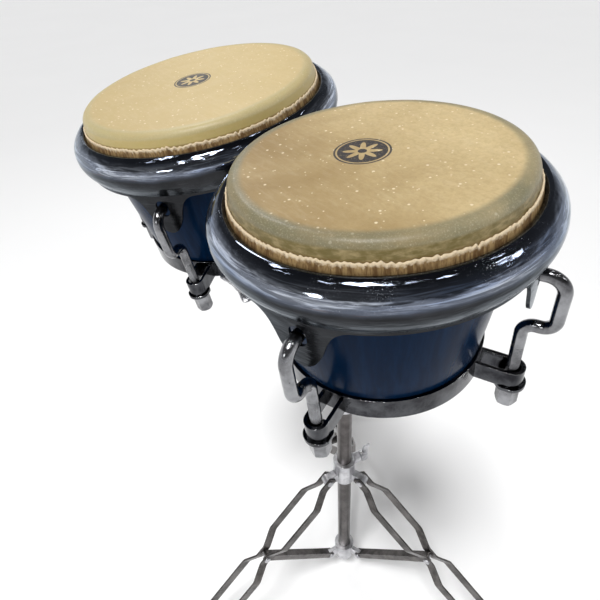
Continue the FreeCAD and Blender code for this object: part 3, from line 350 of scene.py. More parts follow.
@dataclass(frozen=True)
class RawhideFinish:
    """Dry rawhide: mottled, speckled top with painted light, lighter to the back right and darker to the front
    left, a grey painted reflection band at the crown, and a deeper side with a painted shadow low on it.
    """

    name: str
    place: Place
    radius: float
    top: Colour
    top_shaded_and_mottled: Colour
    crown: Colour
    side: Colour
    speck: Colour
    stamp_at: Span
    stamp_radius: float = 16.5 * MM
    ink: Colour = (0.022, 0.022, 0.028)
    shadow: Colour = (0.16, 0.10, 0.035)
    specular: float = 0.33
    crown_reflection_band: Span = (-13.5 * MM, -8.5 * MM)
    side_top: Span = (11.8 * MM, 9.8 * MM)
    shadow_top: Span = (6.2 * MM, 4.6 * MM)
    painted_light_span: Span = (-0.75, 0.55)
    painted_light_lean: float = 0.33
    dot_layers: tuple[Span, ...] = ((190.0, 0.55), (330.0, 0.68))

    def stamp(self, r: Recipe, local: Socket) -> Socket:
        """Mask of a generic stamp: a dark disc with a pale ring and an eight-petalled rosette."""
        move = (-self.stamp_at[0], -self.stamp_at[1], 0.0)
        shifted = r.put("ShaderNodeVectorMath", local, move, operation="ADD").outputs[0]
        x, y, _, distance = r.parts(shifted)
        share = r.sum("DIVIDE", distance, self.stamp_radius)
        disc = r.step(share, 1.02, 0.98)
        ring = r.sum("MULTIPLY", r.step(share, 0.86, 0.88), r.step(share, 0.94, 0.92))
        angle = r.sum("MULTIPLY", r.sum("ARCTAN2", y, x), 8.0)
        petal = r.sum("MULTIPLY_ADD", r.sum("COSINE", angle), 0.2)
        petal.node.inputs[2].default_value = 0.48
        flower = r.step(r.sum("SUBTRACT", share, petal), 0.02, -0.02)
        core = r.step(share, 0.17, 0.15)
        pale = r.sum("MAXIMUM", ring, r.sum("SUBTRACT", flower, core))
        ink = r.sum("SUBTRACT", disc, pale)
        worn = r.step(r.noise(local, 900, 3), 0.3, 0.5)
        return r.sum("MULTIPLY", r.sum("MAXIMUM", ink, 0.0), r.range(worn, 0.72, 0.97))

    def make(self) -> bpy.types.Material:
        """Build the material."""
        r = Recipe(self.name, Specular_IOR_Level=self.specular, Subsurface_Weight=0.06,
                   Subsurface_Radius=(0.004, 0.002, 0.001), Coat_Weight=0.03, Coat_Roughness=0.3)
        local = r.mapped(self.place)
        x, y, z, distance = r.parts(local)
        # Painted light: the top is lighter to the back right and darker to the front left, as the light falls; the
        # blotch noise adds the hide's own mottling.
        along = r.sum("ADD", r.sum("MULTIPLY", x, self.painted_light_lean), y)
        painted_light_share = r.step(r.sum("DIVIDE", along, self.radius), *self.painted_light_span)
        blotch = r.step(r.noise(local, 18, 5, 0.6, 0.6), 0.32, 0.7)
        share = r.sum("ADD", r.range(painted_light_share, 0.0, 0.72), r.range(blotch, 0.0, 0.28))
        colour = r.mix(share, self.top_shaded_and_mottled, self.top)
        grain = r.step(r.noise(local, 420, 4, 0.7), 0.35, 0.7)
        colour = r.mix(r.range(grain, 0.0, 0.3), colour, self.top_shaded_and_mottled)
        dots = []
        for scale, least in self.dot_layers:
            nearness, chance = r.cells(local, scale)
            pick = r.put("ShaderNodeSeparateColor", chance).outputs[0]
            chosen = r.step(pick, least, least + 0.1)
            dots.append(r.sum("MULTIPLY", r.step(nearness, 0.2, 0.09), chosen))
        dot = r.sum("MAXIMUM", *dots)
        colour = r.mix(r.range(dot, 0.0, 0.75), colour, self.speck)
        fibre_point = r.stretched(local, (90.0, 420.0, 90.0))
        fibre = r.noise(fibre_point, 1.0, 3, 0.6, 0.4)
        colour = r.mix(r.range(r.step(fibre, 0.45, 0.75), 0.0, 0.08), colour, self.speck)
        # Painted reflection: a grey band round the rounded crown, broken by smoky noise, with pale specks in it;
        # the band is also made smoother.
        inward = r.sum("SUBTRACT", distance, self.radius)
        smoky = r.step(r.noise(r.stretched(local, (30.0, 30.0, 60.0)), 1.0, 3), 0.2, 0.8)
        band = r.sum("MULTIPLY", r.step(inward, *self.crown_reflection_band), r.range(smoky, 0.5, 0.95))
        colour = r.mix(band, colour, self.crown)
        dusty = r.sum("MULTIPLY", band, r.step(r.noise(local, 1100, 4, 0.75), 0.5, 0.72))
        colour = r.mix(r.range(dusty, 0.0, 0.3), colour, self.speck)
        streak = r.noise(r.stretched(local, (160.0, 160.0, 420.0)), 1.0, 4, 0.6)
        side = r.mix(r.range(r.step(streak, 0.35, 0.8), 0.0, 0.45), self.side, self.top)
        colour = r.mix(r.step(z, *self.side_top), colour, side)
        shade = r.step(z, *self.shadow_top)
        colour = r.mix(r.range(shade, 0.0, 0.7), colour, self.shadow)
        colour = r.mix(self.stamp(r, local), colour, self.ink)
        worn = r.range(r.noise(local, 60, 4), 0.36, 0.62)
        rough = r.sum("SUBTRACT", worn, r.range(band, 0.0, 0.14))
        pores = r.sum("ADD", r.noise(local, 900, 5, 0.7), r.sum("MULTIPLY", dot, 0.6))
        swell = r.noise(local, 70, 3)
        normal = r.bump(swell, 0.35, 0.0006)
        return r.finish(colour, rough, r.bump(pores, 0.5, 0.00022, normal))


@dataclass(frozen=True)
class FlapFinish:
    """Trimmed edge of the skin: upright brown fibres and a pale frayed top."""

    name: str
    place: Place
    light: Colour
    dark: Colour
    edge: Colour

    def make(self) -> bpy.types.Material:
        """Build the material."""
        r = Recipe(self.name, Specular_IOR_Level=0.3, Subsurface_Weight=0.05,
                   Subsurface_Radius=(0.003, 0.002, 0.001))
        local = r.mapped(self.place)
        fibre = r.noise(r.stretched(local, (520.0, 520.0, 60.0)), 1.0, 5, 0.65)
        broad = r.noise(r.stretched(local, (140.0, 140.0, 25.0)), 1.0, 3)
        lines = r.step(r.sum("ADD", fibre, r.sum("MULTIPLY", broad, 0.5)), 0.62, 0.9)
        colour = r.mix(lines, self.dark, self.light)
        height = r.put("ShaderNodeAttribute", attribute_name="edge").outputs["Fac"]
        frayed = r.sum("ADD", height, r.range(r.noise(local, 700, 3), -0.22, 0.22))
        colour = r.mix(r.step(frayed, 0.74, 0.98), colour, self.edge)
        normal = r.bump(fibre, 0.8, 0.0005)
        return r.finish(colour, r.range(fibre, 0.5, 0.8), normal)


@dataclass(frozen=True)
class RimFinish:
    """Chromed rim with painted reflections: a dark roll with scuffed pits, a pale and blue painted reflection band
    with streaks and warm patches, over a duller apron with tabs, painted dark for dark reflections.
    """

    name: str
    place: Place
    bright: Colour
    tint: Colour
    roll: Colour
    apron: Colour
    warm: Colour = (0.16, 0.075, 0.035)
    pit: Colour = (0.62, 0.66, 0.74)
    apron_streak: Colour = (0.16, 0.165, 0.175)
    wander: float = 2.4 * MM
    lit_top: Span = (-0.5 * MM, -4.5 * MM)
    lit_foot: Span = (-12.5 * MM, -8.5 * MM)
    warm_top: Span = (-8.5 * MM, -11.5 * MM)
    pits_foot: Span = (-14.5 * MM, -7.0 * MM)
    skirt_top: Span = (-10.5 * MM, -14.5 * MM)

    def make(self) -> bpy.types.Material:
        """Build the material."""
        r = Recipe(self.name, Metallic=1.0, Specular_Tint=(0.9, 0.95, 1.0))
        local = r.mapped(self.place)
        _, _, z, _ = r.parts(local)
        # Painted reflection: a pale and blue band on the roll's outward shoulder, broken into streaks, with warm
        # patches under it; the rest of the roll is painted dark for dark reflections.
        hue = r.step(r.noise(r.stretched(local, (14.0, 14.0, 90.0)), 1.0, 2), 0.35, 0.65)
        band_reflection = r.mix(hue, self.bright, self.tint)
        level = r.sum("ADD", z, r.range(r.noise(local, 28, 3), -self.wander, self.wander))
        streak_point = r.stretched(local, (24.0, 24.0, 380.0))
        streak = r.step(r.noise(streak_point, 1.0, 4, 0.7, 0.8), 0.46, 0.62)
        band = r.sum("MULTIPLY", r.step(level, *self.lit_top), r.step(level, *self.lit_foot))
        colour = r.mix(r.sum("MULTIPLY", band, r.range(streak, 0.2, 1.0)), self.roll, band_reflection)
        glow_point = r.stretched(local, (11.0, 11.0, 120.0))
        glow = r.noise(glow_point, 1.0, 3, 0.6, 0.5)
        warm = r.sum("MULTIPLY", r.step(glow, 0.54, 0.66), r.step(level, *self.warm_top))
        colour = r.mix(r.range(warm, 0.0, 0.7), colour, self.warm)
        fine = r.noise(local, 1900, 3, 0.7)
        patches = r.step(r.noise(local, 34, 5, 0.7, 0.8), 0.42, 0.68)
        on_roll = r.sum("MULTIPLY", r.step(z, *self.pits_foot), patches)
        pits = r.sum("MULTIPLY", r.step(fine, 0.58, 0.7), on_roll)
        colour = r.mix(pits, colour, self.pit)
        # Painted reflection: the apron and tabs are painted dark, mottled and with paler streaks round them, for
        # dark reflections.
        skirt = r.step(level, *self.skirt_top)
        mottle = r.step(r.noise(local, 45, 5, 0.65), 0.3, 0.75)
        apron_dark_reflection = r.mix(mottle, self.apron, tuple(0.62 * part for part in self.apron))
        apron_streak_point = r.stretched(local, (40.0, 40.0, 900.0))
        apron_streak = r.step(r.noise(apron_streak_point, 1.0, 3, 0.6), 0.6, 0.8)
        apron_dark_reflection = r.mix(r.range(apron_streak, 0.0, 0.25), apron_dark_reflection, self.apron_streak)
        colour = r.mix(skirt, colour, apron_dark_reflection)
        smear = r.range(r.noise(local, 35, 4, 0.6), 0.015, 0.09)
        rough = r.sum("ADD", smear, r.range(pits, 0.0, 0.3))
        rough = r.sum("ADD", rough, r.range(skirt, 0.0, 0.16))
        wave = r.bump(r.noise(r.stretched(local, (26.0, 26.0, 90.0)), 1.0, 3), 0.7, 0.0018)
        return r.finish(colour, rough, r.bump(fine, 0.12, 0.00012, wave))


@dataclass(frozen=True)
class LacquerFinish:
    """Deep gloss lacquer over wood, with bare wood on the inside of a drum."""

    name: str
    deep: Colour
    lit: Colour
    place: Place | None = None
    radius: float = 0.0
    wood_dark: Colour = (0.30, 0.17, 0.075)
    wood_light: Colour = (0.50, 0.32, 0.16)
    taper: float = 0.117
    wall_inset: float = 9.9 * MM

    def make(self) -> bpy.types.Material:
        """Build the material."""
        r = Recipe(self.name, Specular_IOR_Level=0.03, Coat_Weight=0.035, Coat_Roughness=0.04,
                   Coat_IOR=1.35)
        local = r.mapped(self.place) if self.place else r.object_point
        grain = r.noise(r.stretched(local, (190.0, 190.0, 9.0)), 1.0, 5, 0.6, 0.3)
        cloud = r.step(r.noise(local, 14, 3), 0.3, 0.75)
        share = r.sum("MULTIPLY", r.step(grain, 0.35, 0.75), r.range(cloud, 0.35, 1.0))
        colour = r.mix(share, self.deep, self.lit)
        rough = r.range(r.noise(local, 80, 3), 0.16, 0.3)
        if self.place:
            _, _, z, distance = r.parts(local)
            wall = r.sum("ADD", r.sum("MULTIPLY", z, self.taper), self.radius - self.wall_inset)
            inside = r.step(r.sum("SUBTRACT", distance, wall), 0.0004, -0.0004)
            staves = r.noise(r.stretched(local, (60.0, 60.0, 7.0)), 1.0, 6, 0.6, 1.2)
            wood = r.mix(r.step(staves, 0.3, 0.7), self.wood_dark, self.wood_light)
            colour = r.mix(inside, colour, wood)
            rough = r.sum("ADD", rough, r.range(inside, 0.0, 0.4))
        peel = r.bump(r.noise(local, 260, 2), 0.06, 0.0004)
        return r.finish(colour, rough, peel)


@dataclass(frozen=True)
class MetalFinish:
    """Plated or cast metal: clouded colour, fine scratches, dark spots and rubbed edges."""

    name: str
    light: Colour
    dark: Colour
    roughness: Span
    scratch: Colour = (600.0, 600.0, 40.0)
    grain: float = 0.0002
    edge_radius: float = 0.0006
    edge: Colour = (0.55, 0.55, 0.56)

    def make(self) -> bpy.types.Material:
        """Build the material."""
        r = Recipe(self.name, Metallic=1.0)
        cloud = r.step(r.noise(r.object_point, 60, 5, 0.6), 0.3, 0.72)
        colour = r.mix(cloud, self.dark, self.light)
        lines = r.noise(r.stretched(r.object_point, self.scratch), 1.0, 4, 0.6)
        colour = r.mix(r.range(r.step(lines, 0.5, 0.8), 0.0, 0.35), colour, self.light)
        spots = r.step(r.noise(r.object_point, 420, 3, 0.7), 0.66, 0.74)
        colour = r.mix(r.range(spots, 0.0, 0.6), colour, tuple(0.35 * c for c in self.dark))
        soft, near = r.rounded_edges(self.edge_radius)
        rubbed = r.sum("MULTIPLY", near, r.step(r.noise(r.object_point, 150, 3), 0.35, 0.6))
        colour = r.mix(r.range(rubbed, 0.0, 0.7), colour, self.edge)
        low, high = self.roughness
        rough = r.range(r.noise(r.object_point, 90, 4), low, high)
        rough = r.sum("ADD", rough, r.range(spots, 0.0, 0.2))
        normal = r.bump(r.noise(r.object_point, 800, 4, 0.6), 0.4, self.grain, soft)
        return r.finish(colour, rough, normal)


@dataclass(frozen=True)
class RubberFinish:
    """Black rubber or nylon: dusty, slightly pitted."""

    name: str
    dark: Colour
    dust: Colour
    roughness: Span

    def make(self) -> bpy.types.Material:
        """Build the material."""
        r = Recipe(self.name, Specular_IOR_Level=0.35)
        powder = r.step(r.noise(r.object_point, 130, 5, 0.7), 0.42, 0.8)
        colour = r.mix(r.range(powder, 0.0, 0.7), self.dark, self.dust)
        _, near = r.rounded_edges(0.0008)
        colour = r.mix(r.range(near, 0.0, 0.4), colour, self.dust)
        rough = r.range(powder, *self.roughness)
        normal = r.bump(r.noise(r.object_point, 1100, 4), 0.5, 0.00015)
        return r.finish(colour, rough, normal)


@dataclass(frozen=True)
class FloorFinish:
    """Plain pale floor."""

    name: str = "floor_paint"

    def make(self) -> bpy.types.Material:
        """Build the material."""
        r = Recipe(self.name, Specular_IOR_Level=0.2)
        tone = r.mix(r.noise(r.object_point, 1.5, 3), (0.90, 0.90, 0.90), (0.93, 0.93, 0.93))
        return r.finish(tone, r.range(r.noise(r.object_point, 8, 3), 0.6, 0.75))


# ---------------------------------------------------------------- drums

def joint(name: str) -> dict:
    """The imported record's joint of that name."""
    return next(item for item in frame["joints"] if item["name"] == name)


def node_points(name: str) -> np.ndarray:
    """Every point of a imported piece."""
    mesh = frame["nodes"][name].data
    flat = np.zeros(len(mesh.vertices) * 3, np.float32)
    mesh.vertices.foreach_get("co", flat)
    return flat.reshape(-1, 3).astype(float)


def dress(item: bpy.types.Object, material: bpy.types.Material) -> None:
    """Give an object one material."""
    item.data.materials.clear()
    item.data.materials.append(material)


class Size(Enum):
    """The two drums of the pair."""

    SMALL = "small"
    LARGE = "large"


@dataclass
class Drum:
    """One drum: skin, flap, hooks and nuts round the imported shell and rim."""

    size: Size
    rod_reach: float = 4.6 * MM
    nut_level: float = 140.0 * MM
    crown_rise: float = 15.3 * MM
    crown_round: float = 6.0 * MM
    crown_inset: float = 8.8 * MM
    skin_thick: float = 1.3 * MM
    flap_rise: float = 4.6 * MM
    flap_thick: float = 1.0 * MM
    hoop_drop: float = 8.5 * MM
    hoop_inset: float = 2.0 * MM
    tuck_radius: float = 3.1 * MM
    rod_radius: float = 4.0 * MM
    hook_reach: float = 21.5 * MM
    hook_low: float = 78.0 * MM
    hook_hole: float = 40.5 * MM
    hook_inset: float = 1.0 * MM
    rod_end: float = 149.0 * MM
    thread_top: float = 96.0 * MM
    thread_pitch: float = 1.25 * MM
    thread_depth: float = 0.55 * MM
    nut_low: float = 150.5 * MM
    nut_length: float = 18.0 * MM
    nut_radius: float = 7.4 * MM
    nut_bore: float = 4.05 * MM
    nut_bevel: float = 1.3 * MM
    place: Place = field(init=False)
    radius: float = field(init=False)
    turns: np.ndarray = field(init=False)

    def __post_init__(self) -> None:
        """Find the drum's place, radius and lugs from its four nut joints."""
        nuts = [joint(f"{self.size.value}_nut_{k}_turn") for k in range(1, 5)]
        axis = np.array(nuts[0]["axis"])
        spots = np.array([nut["pos_m"] for nut in nuts])
        centre = spots.mean(0) + axis * self.nut_level
        self.place = Place(centre, math.atan2(-axis[1], axis[2]))
        local = self.place.to_local(spots)
        self.radius = float(np.hypot(local[:, 0], local[:, 1]).mean()) - self.rod_reach
        self.turns = np.arctan2(local[:, 1], local[:, 0])

    def side_radius(self, height: np.ndarray | float) -> np.ndarray | float:
        """Radius of the skin's side: it widens by tan 10 degrees on its way down."""
        ten = math.radians(10)
        start = self.radius - self.crown_inset + self.crown_round * math.cos(ten)
        level = self.crown_rise - self.crown_round * (1 - math.sin(ten))
        return start + (level - height) * math.tan(ten)

    def skin(self) -> bpy.types.Object:
        """Closed skin: flat top, rounded crown, sloping side and the tuck round its hoop."""
        hub = np.array([self.radius - self.crown_inset, self.crown_rise - self.crown_round])

        def arc(centre: np.ndarray, radius: float, start: float, end: float, count: int) -> np.ndarray:
            """Points centre + radius (cos a, sin a) for a from start to end in degrees."""
            a = np.radians(np.linspace(start, end, count))
            return centre + radius * np.stack([np.cos(a), np.sin(a)], 1)

        def flat(height: float, start: float, end: float, count: int) -> np.ndarray:
            """Points (r, height) for r from start to end."""
            return np.stack([np.linspace(start, end, count), np.full(count, height)], 1)

        inner = self.crown_round - self.skin_thick
        side_z = np.linspace(self.crown_rise - self.crown_round * 0.9, -5.5 * MM, 12)
        side = np.stack([self.side_radius(side_z), side_z], 1)[1:]
        tuck_at = np.array([self.radius - self.hoop_inset, -self.hoop_drop])
        under_z = np.linspace(-5.6 * MM, self.crown_rise - self.crown_round * 0.9, 8)
        wall = self.skin_thick / math.cos(math.radians(10))
        under = np.stack([self.side_radius(under_z) - wall, under_z], 1)[:-1]
        rows = [flat(self.crown_rise, 1 * MM, hub[0], 24)[:-1],
                arc(hub, self.crown_round, 90, 10, 16), side,
                arc(tuck_at, self.tuck_radius, 35, -235, 16), under,
                arc(hub, inner, 10, 90, 10),
                flat(self.crown_rise - self.skin_thick, hub[0], 1 * MM, 12)[1:]]
        profile = np.concatenate(rows)
        points = spin(profile, 288)
        angle = np.linspace(0, 2 * np.pi, 288, endpoint=False)
        share = profile[:, 0] / self.radius
        swell = np.outer(share ** 2, ripple(angle, (2, 9), 6, 4)) * 0.16 * MM
        points[..., 2] -= np.abs(swell) * (profile[:, 1] > 5 * MM)[:, None]
        name = f"{self.size.value}_skin"
        return surface(name, self.place.to_world(points)[None])

    def flap(self) -> bpy.types.Object:
        """Trimmed band outside the side: a wall that rises to a wavy top and comes down inside.

        The height is flap_rise times 1 plus broad and fine ripples round the drum, and the wall
        is pushed outwards by the same ripples in proportion to its height.
        """
        columns = 900
        angle = np.linspace(0, 2 * np.pi, columns, endpoint=False)
        seed = len(self.size.value)
        broad, fine = ripple(angle, (5, 40), 12, seed), ripple(angle, (60, 210), 24, seed + 1)
        top = self.flap_rise * (1 + 0.07 * broad + 0.08 * fine)
        out = np.linspace(0, 1, 12)[:, None]
        low = -5.0 * MM
        height = low + (top - low) * out
        centre = np.minimum(self.side_radius(height) + 0.55 * MM, self.radius - 0.4 * MM)
        lean = np.clip(height / self.flap_rise, 0, 1) * (0.14 * fine + 0.12 * broad) * MM
        half = self.flap_thick / 2
        outer = np.stack([centre + half + lean, height], -1)
        inner = np.stack([centre - half + lean, height], -1)[::-1]
        crest = np.stack([centre[-1:] + lean[-1:], height[-1:] + 0.35 * MM], -1)
        profile = np.concatenate([outer, crest, inner])
        edge = np.repeat(np.concatenate([out, [[1.05]], out[::-1]]), columns, 1)
        points = self.place.to_world(spin(profile, columns))
        return surface(f"{self.size.value}_skin_flap", points[None], True, edge[None])

    def at_lugs(self, points: np.ndarray) -> np.ndarray:
        """Copies of points, given with x outwards, turned to the four lugs."""
        c, s = np.cos(self.turns), np.sin(self.turns)
        zero, one = np.zeros(4), np.ones(4)
        turns = np.stack([np.stack([c, -s, zero], -1), np.stack([s, c, zero], -1),
                          np.stack([zero, zero, one], -1)], 1)
        return self.place.to_world(np.einsum("kab,...b->k...a", turns, points))

    def hooks(self) -> bpy.types.Object:
        """Four bent hooks with threaded shanks.

        A circle of radius q is carried along the centreline.  On the thread, q is the rod's
        radius less a triangle wave of (height / pitch - angle / turn).  The ends are domed.
        """
        rod, far = self.radius + self.rod_reach, self.radius + self.hook_reach
        corners = np.array([[rod, -self.rod_end], [rod, -self.hook_low], [far, -self.hook_low],
                            [far, -self.hook_hole], [self.radius + self.hook_inset, -self.hook_hole]])
        line = rounded_line(corners, [7.5 * MM, 7.5 * MM, 10.5 * MM], 0.25 * MM)
        tangent = np.gradient(line, axis=0)
        tangent /= np.linalg.norm(tangent, axis=1, keepdims=True)
        angle = np.linspace(0, 2 * np.pi, 20, endpoint=False)
        along = np.arange(len(line)) * 0.25 * MM
        thread = np.clip((-self.thread_top - line[:, 1]) / (2 * MM), 0, 1) * (line[:, 0] < rod + MM)
        phase = line[:, 1:2] / self.thread_pitch - angle / (2 * np.pi)
        groove = np.abs(2 * (phase - np.floor(phase)) - 1)
        tip = np.minimum(along, along[-1] - along) / (1.6 * MM)
        dome = np.sqrt(np.clip(1 - (1 - np.clip(tip, 0, 1)) ** 2, 0.01, 1))[:, None]
        radius = (self.rod_radius - thread[:, None] * self.thread_depth * groove) * dome
        across = np.stack([-tangent[:, 1], tangent[:, 0]], 1)
        points = np.stack([line[:, 0:1] + radius * np.cos(angle) * across[:, 0:1],
                           radius * np.sin(angle),
                           line[:, 1:2] + radius * np.cos(angle) * across[:, 1:2]], -1)
        return surface(f"{self.size.value}_tuning_hooks", self.at_lugs(points))

    def nuts(self) -> list[bpy.types.Object]:
        """Four long hexagon nuts, one object each.

        The outside radius at angle a is the hexagon's, apothem / cos(a's distance from a flat's
        middle), cut down to a cone near both ends.
        """
        columns = 72
        angle = np.linspace(0, 2 * np.pi, columns, endpoint=False)
        apothem = self.nut_radius * math.cos(math.pi / 6)
        hexagon = apothem / np.cos((angle % (np.pi / 3)) - np.pi / 6)
        low, high = -self.nut_low, self.nut_length - self.nut_low
        depth = np.array([0.0, 0.35, 0.7, 1.0, 1.5]) * self.nut_bevel
        height = np.concatenate([low + depth, high - depth[::-1]])
        inset = np.minimum(height - low, high - height)[:, None]
        cone = apothem - 0.4 * MM + inset * 1.2
        outer = np.minimum(hexagon, cone)
        ring = np.full((1, columns), self.nut_bore)
        radii = np.concatenate([ring, ring + 0.5 * MM, outer, ring + 0.5 * MM, ring])
        levels = np.concatenate([[low + 0.5 * MM, low], height, [high, high - 0.5 * MM]])
        profile = np.stack([radii, np.repeat(levels[:, None], columns, 1)], -1)
        points = spin(profile, columns)
        points[..., 0] += self.radius + self.rod_reach
        return [surface(f"{self.size.value}_tuning_nut_{k + 1}", copy[None], True)
                for k, copy in enumerate(self.at_lugs(points))]


# ---------------------------------------------------------------- wing bolts and feet

@dataclass
class WingBolt:
    """Cast wing bolt or nut in the place of a packed one."""

    node: str
    body: str
    turn_joint: str
    stem_radius: float
    hub_radius: float = 6.5 * MM
    hub_length: float = 10.0 * MM
    lobe: float = 8.0 * MM
    reach: float = 21.0 * MM

    def frame_of(self) -> tuple[np.ndarray, np.ndarray, float, float]:
        """Axis origin, axes, start and middle of the wings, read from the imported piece.

        Returns:
            Point on the axis, matrix whose columns are the wing, thickness and axis directions,
            and the distances along the axis of the stem's start and the wings' middle.
        """
        turn = joint(self.turn_joint)
        axis = np.array(turn["axis"]) / np.linalg.norm(turn["axis"])
        points = node_points(self.node) - np.array(turn["pos_m"])
        along = points @ axis
        across = points - np.outer(along, axis)
        farthest = np.argmax(np.linalg.norm(across, axis=1))
        wing = across[farthest] / np.linalg.norm(across[farthest])
        if along[farthest] < (along.min() + along.max()) / 2:
            axis, along = -axis, -along
        axes = np.stack([wing, np.cross(axis, wing), axis], 1)
        return np.array(turn["pos_m"]), axes, float(along.min()), float(along.max()) - self.lobe

    def wings(self, middle: float) -> np.ndarray:
        """Butterfly casting: ovals carried along the wing direction.

        At share u of the reach, the oval's half height swells from the hub to the lobe and closes
        as sqrt(1 - u^8) at the tips, its half thickness narrows, and its middle rises with u^2.
        """
        share = np.sin(np.linspace(-0.5, 0.5, 61) * math.pi)
        close = np.sqrt(np.clip(1 - share ** 8, 0.002, 1))
        tall = (3.6 + 3.4 * np.abs(share) ** 1.5) * MM * close
        thick = (2.1 + 2.6 * np.exp(-(share / 0.26) ** 2)) * MM * np.clip(close, 0.05, 1)
        rise = middle + (2.6 * share ** 2 - 1.8) * MM
        angle = np.linspace(0, 2 * np.pi, 28, endpoint=False)
        shape = np.abs(np.cos(angle)) ** 0.8 * np.sign(np.cos(angle))
        return np.stack([np.repeat((share * self.reach)[:, None], 28, 1),
                         np.outer(thick, shape),
                         rise[:, None] + np.outer(tall, np.sin(angle))], -1)

    def stem(self, start: float, middle: float) -> np.ndarray:
        """Stem and hub: a profile turned about the axis, with a domed end."""
        base = middle - self.hub_length
        rows = [[0.6 * self.stem_radius, start], [self.stem_radius, start + 0.8 * MM],
                [self.stem_radius, base], [self.hub_radius - 0.7 * MM, base],
                [self.hub_radius, base + 0.8 * MM], [self.hub_radius * 0.92, middle - 3 * MM],
                [self.hub_radius * 0.8, middle], [self.hub_radius * 0.45, middle + 1.6 * MM]]
        return spin(np.array(rows), 40)

    def make(self, material: bpy.types.Material) -> None:
        """Build the casting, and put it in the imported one's place."""
        origin, axes, start, middle = self.frame_of()
        parts = {"wings": self.wings(middle), "stem": self.stem(start, middle)}
        for label, points in parts.items():
            item = surface(f"{self.node}_{label}", (points @ axes.T + origin)[None])
            dress(item, material)
            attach(item, self.body)
            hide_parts(self.node)


@dataclass
class Foot:
    """Ribbed rubber foot in the place of a packed one."""

    index: int
    ribs: int = 3
    groove: float = 0.9 * MM

    def make(self, material: bpy.types.Material) -> None:
        """Build the foot: a turned profile whose radius dips with a cosine at each groove."""
        node = f"leg_{self.index}_foot"
        low, high = (np.array(corner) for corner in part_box(node))
        centre = (low + high) / 2
        radius, height = (high[0] - low[0]) / 2, high[2] - low[2]
        share = np.linspace(0, 1, 60)
        rows = np.stack([np.full(60, radius), low[2] + share * height], 1)
        wave = 0.5 - 0.5 * np.cos(np.clip((share - 0.12) / 0.62, 0, 1) * 2 * np.pi * self.ribs)
        rows[:, 0] -= self.groove * wave ** 3
        shoulder = np.clip((share - 0.78) / 0.22, 0, 1)
        rows[:, 0] -= radius * 0.42 * (1 - np.sqrt(1 - 0.98 * shoulder ** 2))
        heel = np.clip(1 - share / 0.07, 0, 1)
        rows[:, 0] -= 1.2 * MM * heel
        points = spin(rows, 64) + np.array([centre[0], centre[1], 0])
        item = surface(f"leg_{self.index}_rubber_tip", points[None])
        dress(item, material)
        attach(item, f"leg_{self.index}")
        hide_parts(node)


# ---------------------------------------------------------------- assemblies

@dataclass
class DrumPair:
    """Both drums, with the finishes that only they have."""

    chrome: bpy.types.Material

    def build(self, size: Size) -> None:
        """Make and dress one drum."""
        drum, name = Drum(size), size.value
        small = size is Size.SMALL
        # The darker top colour is the shaded end of the painted light gradient and also the dark of the mottle and
        # grain.
        tan = (0.58, 0.455, 0.245) if small else (0.54, 0.42, 0.21)
        tan_shaded_and_mottled = (0.265, 0.175, 0.066) if small else (0.45, 0.34, 0.155)
        hide = RawhideFinish(f"{name}_rawhide", drum.place, drum.radius, tan, tan_shaded_and_mottled,
                             # crown: colour of the painted reflection band at the crown
                             crown=(0.15, 0.145, 0.088) if small else (0.40, 0.34, 0.17),
                             side=(0.145, 0.110, 0.030) if small else (0.47, 0.37, 0.14),
                             speck=(0.82, 0.72, 0.52),
                             stamp_at=(-8.1 * MM, -2.7 * MM) if small else (-7.1 * MM, -0.5 * MM)
                             ).make()
        flap = FlapFinish(f"{name}_flap_hide", drum.place, (0.37, 0.245, 0.105),
                          (0.14, 0.075, 0.026), (0.66, 0.54, 0.37)).make()
        # Rim colours: pale and blue of the painted reflection band, then the roll and apron painted dark for dark
        # reflections.
        rim = RimFinish(f"{name}_rim_chrome_painted_reflection", drum.place, (0.62, 0.67, 0.76), (0.26, 0.34, 0.52),
                        (0.075, 0.085, 0.110), (0.036, 0.037, 0.040)).make()
        lacquer = LacquerFinish(f"{name}_shell_lacquer", (0.0015, 0.012, 0.038),
                                (0.003, 0.024, 0.072), drum.place, drum.radius).make()
        skin, band, hooks = drum.skin(), drum.flap(), drum.hooks()
        for item, material, slot in ((skin, hide, "skin"), (band, flap, "skin"),
                                     (hooks, self.chrome, "drum_chrome")):
            dress(item, material)
            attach(item, "deck")
        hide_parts(f"{name}_head")
        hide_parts(f"{name}_head")
        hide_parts(f"{name}_hooks")
        for k, nut in enumerate(drum.nuts(), start=1):
            dress(nut, self.chrome)
            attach(nut, f"{name}_nut_{k}")
            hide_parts(f"{name}_nut_{k}")
        dress(frame["nodes"][f"{name}_rim"], rim)
        dress(frame["nodes"][f"{name}_shell"], lacquer)
        log.info("%s drum: radius %.1f mm, lean %.1f degrees", name, drum.radius / MM,
                 math.degrees(drum.place.tilt))


